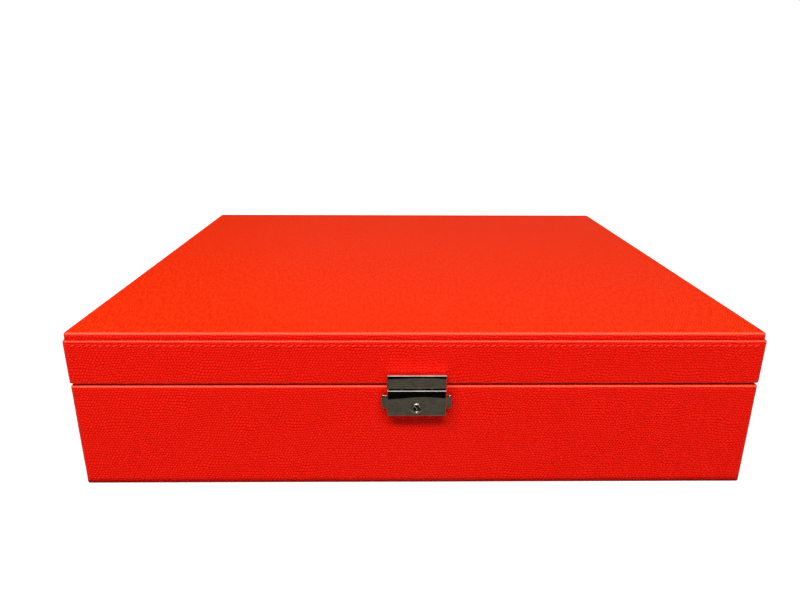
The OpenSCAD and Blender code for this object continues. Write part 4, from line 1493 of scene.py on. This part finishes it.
@dataclass
class PressLock:
    """The polished lock on the base and its hasp on the lid.

    Attributes:
        edge, ring_edge, core_edge: How far the plates', the ring's and the core's edges are
            rounded, the plates' in fewer steps.
        keyway: How far behind the core's face the painted shade in the keyway starts, and is full.
        coils, steps: The turns of a button's spring, and the stations along each.
        wire_taper: How steeply the wire thins towards its ends.
    """

    edge: float = 0.14
    ring_edge: float = 0.3
    core_edge: float = 0.2
    keyway: tuple[float, float] = (0.1, 0.6)
    coils: int = 7
    steps: int = 20
    wire_radius: float = 0.2
    wire_sides: int = 8
    wire_taper: float = 40.0
    plate_segments: int = 2

    def spring(self, side: str, material: Material) -> Piece:
        """Wind a button's coil spring.

        Args:
            side: Left or right.
            material: Its finish.

        Returns:
            The spring. Its wire thins to nothing at both ends.
        """
        low, high = box_mm(f"button_spring_{side}")
        middle, length = (low + high) / 2, high[0] - low[0]
        share = np.linspace(0, 1, self.coils * self.steps + 1)[:, None]
        turn, around = math.tau * self.coils * share, np.linspace(0, math.tau, self.wire_sides + 1)
        wire = self.wire_radius * np.minimum(1, self.wire_taper * np.minimum(share, 1 - share))
        reach = (high[2] - low[2]) / 2 - self.wire_radius + wire * np.cos(around)
        along = low[0] + self.wire_radius + share * (length - 2 * self.wire_radius)
        x, y, z = along + wire * np.sin(around), reach * np.cos(turn), reach * np.sin(turn)
        points = joined(x, middle[1] + y, middle[2] + z)[None]
        flat = joined(turn, around)[None]
        wire_patch = Patch(points[:, :, :-1], flat, wraps=True)
        piece = build(f"coil_spring_{side}", [wire_patch], sealed=True)
        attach(piece, "base")
        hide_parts(f"button_spring_{side}")
        name = f"{side}_button_slide"
        joints = {joint["name"]: joint for joint in frame["record"]["behaviour"]["joints"]}
        keep = 1 - joints[name]["range_m"][1] / MM / length
        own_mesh(piece)
        return dress(piece, material)

    def make(self) -> None:
        """Round the fittings' edges, and dress them and the mechanism."""
        gunmetal, steel = GUNMETAL.material(), STEEL.material()
        face = box_mm("lock_core")[0][1]
        depths = (face + self.keyway[0], face + self.keyway[1])
        # The lock core's metal, with painted shade inside its keyway.
        keyway_shaded = replace(GUNMETAL, name="keyway_shaded_metal", keyway=depths).material()
        for node, edge, metal in (
            ("keyhole_ring", self.ring_edge, gunmetal),
            ("lock_core", self.core_edge, keyway_shaded),
        ):
            dress(softened_copy(node, f"{node}_polished", edge), metal)
        for node in ("lock_housing", "hasp", "button_left", "button_right"):
            plate = softened_copy(node, f"{node}_polished", self.edge, self.plate_segments)
            dress(plate, gunmetal)
        dress_nodes(["lock_backplate"], gunmetal)
        for side in ("left", "right"):
            self.spring(side, steel)
        dress_nodes(["lock_cam", "core_clip", "lock_screws", "hasp_screws"], steel)


@dataclass
class LidHinges:
    """The two butt hinges with their pins and screws."""

    edge: float = 0.12
    leaf_segments: int = 2

    def make(self) -> None:
        """Round the leaves' edges, and dress the hinges."""
        gunmetal, steel = GUNMETAL.material(), STEEL.material()
        for half in ("base", "lid"):
            for side in ("left", "right"):
                node = f"hinge_{half}_leaf_{side}"
                leaf = softened_copy(node, f"{node}_plated", self.edge, self.leaf_segments)
                dress(leaf, gunmetal)
        kinds = ("pin_left", "pin_right", "base_screws", "lid_screws")
        dress_nodes([f"hinge_{kind}" for kind in kinds], steel)


@dataclass
class Lamp:
    """A wide soft light that looks at the case.

    Attributes:
        place: Where it hangs.
        width, depth: Its size.
        power: Its strength, in watts.
        mirrored: Whether reflections show it.
    """

    name: str
    place: tuple[float, float, float]
    width: float
    depth: float
    power: float
    mirrored: bool = True

    def make(self, target: Vector) -> None:
        """Hang the lamp, aim it, and leave it out of reflections unless it is mirrored.

        Args:
            target: The point that it looks at, in metres.
        """
        data = bpy.data.lights.new(self.name, "AREA")
        data.shape = "RECTANGLE"
        data.size, data.size_y = self.width * MM, self.depth * MM
        data.energy = self.power
        lamp = bpy.data.objects.new(self.name, data)
        lamp.location = Vector(self.place) * MM
        lamp.visible_glossy = self.mirrored
        lamp.visible_camera = False
        lamp.rotation_mode = "QUATERNION"
        lamp.rotation_quaternion = (target - lamp.location).to_track_quat("-Z", "Y")
        bpy.context.scene.collection.objects.link(lamp)


@dataclass
class Studio:
    """The camera, the soft lights, the pale floor, and dim cards that only gloss sees.

    Attributes:
        focal_px, pitch, yaw, roll, eye: The camera's focal length in pixels, its turns in degrees
            and its place.
        sensor_mm, clip_m: Its sensor's width, and the nearest and farthest that it sees, in metres.
        floor_matt, floor_plain: The floor's colour where it is seen and where it only lights.
        floor_glow, glow_reach: What it gives off near the case, and where that goes up to white.
        dim, dark, bright: The cards' greys.
        pool, pool_place, pool_reach: A painted pool of warm light on the card in front of the lock,
            which reflections show, its place and its blur. band_near, band_middle, band_far: The
            dark bands' edges along Y. The nearest band lies between the first two, and the other
            one past the last. wave_height, wave_length, wave_start, far_wave: The wave along the
            edges, and how much of it the far band has. ring_radius, ring_height, ring_start,
            ring_sides: The ring's size, where it gets lighter as a share of its height, and its
            facets.
    """

    focal_px: float = 624.5
    pitch: float = 18.72
    yaw: float = -0.77
    roll: float = 0.28
    eye: tuple[float, float, float] = (-14.9, -525.4, 239.9)
    sensor_mm: float = 36.0
    clip_m: tuple[float, float] = (0.01, 20.0)
    floor_size: float = 8000.0
    floor_level: float = -0.1
    floor_matt: Colour = (0.5, 0.5, 0.5)
    floor_plain: Colour = (0.35, 0.35, 0.35)
    floor_glow: Colour = (0.74, 0.74, 0.74)
    glow_reach: tuple[float, float] = (300.0, 1300.0)
    world_diffuse: float = 0.18
    lamps: tuple[Lamp, ...] = (
        Lamp("front", (-150.0, -1000.0, 1320.0), 1800.0, 280.0, 34.0),
        Lamp("rear", (250.0, 1500.0, 700.0), 1500.0, 600.0, 12.0, mirrored=False),
    )
    dim: Colour = (0.087, 0.08, 0.064)
    dark: Colour = (0.003, 0.003, 0.003)
    bright: Colour = (0.14, 0.135, 0.125)
    card_level: float = 0.5
    pool: Colour = (0.6, 0.5, 0.45)
    pool_place: tuple[float, float, float] = (0.0, -195.0, 0.0)
    pool_reach: tuple[float, float] = (25.0, 70.0)
    band_near: float = -311.2
    band_middle: float = -326.2
    band_far: float = -347.4
    wave_height: float = 1.9
    wave_length: float = 62.0
    wave_start: float = -4.5
    far_wave: float = 0.6
    ring_radius: float = 2200.0
    ring_height: float = 3000.0
    ring_start: float = 0.3
    ring_sides: int = 48

    def camera(self) -> None:
        """Set the camera as the photograph was taken: its focal length, place and turn."""
        data = bpy.data.cameras.new("camera")
        data.sensor_width = self.sensor_mm
        data.lens = self.focal_px / IMAGE_WIDTH_PX * self.sensor_mm
        data.clip_start, data.clip_end = self.clip_m
        camera = bpy.data.objects.new("camera", data)
        turn = (
            Matrix.Rotation(math.radians(self.yaw), 4, "Z")
            @ Matrix.Rotation(math.radians(90 - self.pitch), 4, "X")
            @ Matrix.Rotation(math.radians(self.roll), 4, "Z")
        )
        camera.matrix_world = Matrix.Translation(Vector(self.eye) * MM) @ turn
        bpy.context.scene.collection.objects.link(camera)
        bpy.context.scene.camera = camera

    @staticmethod
    def seen(graph: Graph) -> Signal:
        """Tell the rays that show the studio from those that only light the case.

        Args:
            graph: The node tree that asks.

        Returns:
            1 for rays from the camera, a reflection or glass, and 0 for the rest.
        """
        rays = graph.add("ShaderNodeLightPath", output="Is Camera Ray")
        glossy, clear = (rays.output(f"Is {kind} Ray") for kind in ("Glossy", "Transmission"))
        return rays.highest(glossy).highest(clear)

    def world(self) -> None:
        """Make the world white where it is seen, and softer where it lights the case."""
        world = bpy.data.worlds.new("studio")
        graph = Graph("studio", world)
        strength = self.world_diffuse + (1 - self.world_diffuse) * self.seen(graph)
        inputs = {"Color": WHITE, "Strength": strength}
        graph.cover(graph.add("ShaderNodeBackground", inputs=inputs), "World")
        bpy.context.scene.world = world

    @staticmethod
    def panel(name: str, points: np.ndarray, surface: Signal) -> Piece:
        """Build a piece of the studio.

        Args:
            name: The piece's name.
            points: Its grid of corners, rows × columns × 3.
            surface: The shader that covers it.

        Returns:
            The piece, not staged yet.
        """
        surface.graph.cover(surface)
        piece = build(name, [Patch(points[None], points[None, ..., :2])])
        piece.data.materials.append(surface.graph.material)
        return piece

    def square(self, size: float, level: float) -> np.ndarray:
        """Give the corners of a level square about the case."""
        span = np.linspace(-size / 2, size / 2, 2)
        return joined(span, span[:, None], level)

    def floor(self) -> None:
        """Lay the pale floor a hair under the case. It glows to white, and is clear from below."""
        graph = Graph("floor")
        colours = ({"Color": colour} for colour in (self.floor_matt, self.floor_plain))
        matt, plain = (graph.add("ShaderNodeBsdfDiffuse", inputs=inputs) for inputs in colours)
        away = graph.vector("LENGTH", graph.place(Place.BODY)).output("Value")
        share = graph.mix(away.rise(*self.glow_reach), self.floor_glow, WHITE)
        glow = graph.add("ShaderNodeEmission", inputs={"Color": share, "Strength": 1.0})
        lit = graph.add("ShaderNodeAddShader", inputs={0: matt, 1: glow})
        above = {0: self.seen(graph), 1: plain, 2: lit}
        shown = {
            0: graph.add("ShaderNodeNewGeometry", output="Backfacing"),
            1: graph.add("ShaderNodeMixShader", inputs=above),
            2: graph.add("ShaderNodeBsdfTransparent"),
        }
        surface = graph.add("ShaderNodeMixShader", inputs=shown)
        self.panel("floor", self.square(self.floor_size, self.floor_level), surface)

    def gloss_only(self, name: str, points: np.ndarray, colour: Signal) -> None:
        """Put up a card that lights nothing and is seen in reflections only.

        Args:
            name: The card's name.
            points: Its grid of corners, rows × columns × 3.
            colour: The light that it gives.
        """
        inputs = {"Color": colour, "Strength": 1.0}
        card = self.panel(name, points, colour.graph.add("ShaderNodeEmission", inputs=inputs))
        for ray in ("camera", "diffuse", "shadow", "transmission", "volume_scatter"):
            setattr(card, f"visible_{ray}", False)

    def floor_card(self) -> None:
        """Lay a dim card round the case, with two dark bands for the polished lock to mirror.

        The bands run along X in front of the lock, and a slow sine waves their edges.
        """
        graph = Graph("floor_card")
        where = graph.place(Place.BODY)
        x, y = graph.axis(where, "X"), graph.axis(where, "Y")
        phase = (x - self.wave_start) * (math.tau / self.wave_length)
        wave = self.wave_height * phase.sine()
        near = (1 - (y + wave).past(self.band_near)) * y.past(self.band_middle)
        far = 1 - (y + self.far_wave * wave).past(self.band_far)
        # A painted pool of warm light on the card in front of the lock.
        away = graph.vector("DISTANCE", where, self.pool_place).output("Value")
        floor = graph.mix(1 - away.rise(*self.pool_reach), self.dim, self.pool)
        colour = graph.mix(near.highest(far), floor, self.dark)
        self.gloss_only("floor_card", self.square(2 * self.ring_radius, self.card_level), colour)

    def ring_card(self) -> None:
        """Stand a dim ring round the floor, a little lighter towards its top."""
        graph = Graph("ring_card")
        z = graph.axis(graph.place(Place.BODY), "Z")
        high = z.rise(self.ring_start * self.ring_height, self.ring_height)
        angle = np.linspace(0, math.tau, self.ring_sides + 1)
        height = np.array([[0.0], [self.ring_height]])
        x, y = self.ring_radius * np.cos(angle), self.ring_radius * np.sin(angle)
        self.gloss_only("ring_card", joined(x, y, height), graph.mix(high, self.dim, self.bright))

    def make(self) -> None:
        """Set up everything round the case."""
        low, high = CAD_BOX
        for lamp in self.lamps:
            lamp.make((low + high) / 2)
        self.camera()
        self.world()
        self.floor()
        self.floor_card()
        self.ring_card()
        bpy.context.scene.view_settings.view_transform = "Standard"


def main() -> None:
    """Build the studio and every sub-assembly in turn."""
    logging.basicConfig(level=logging.INFO, format="%(name)s %(message)s")
    for kind in (Studio, Carcass, CaseLeather, QuiltedPad, LiftOutTrays, PressLock, LidHinges):
        LOG.info("building %s", kind.__name__)
        kind().make()


if __name__ == "__main__":
    main()
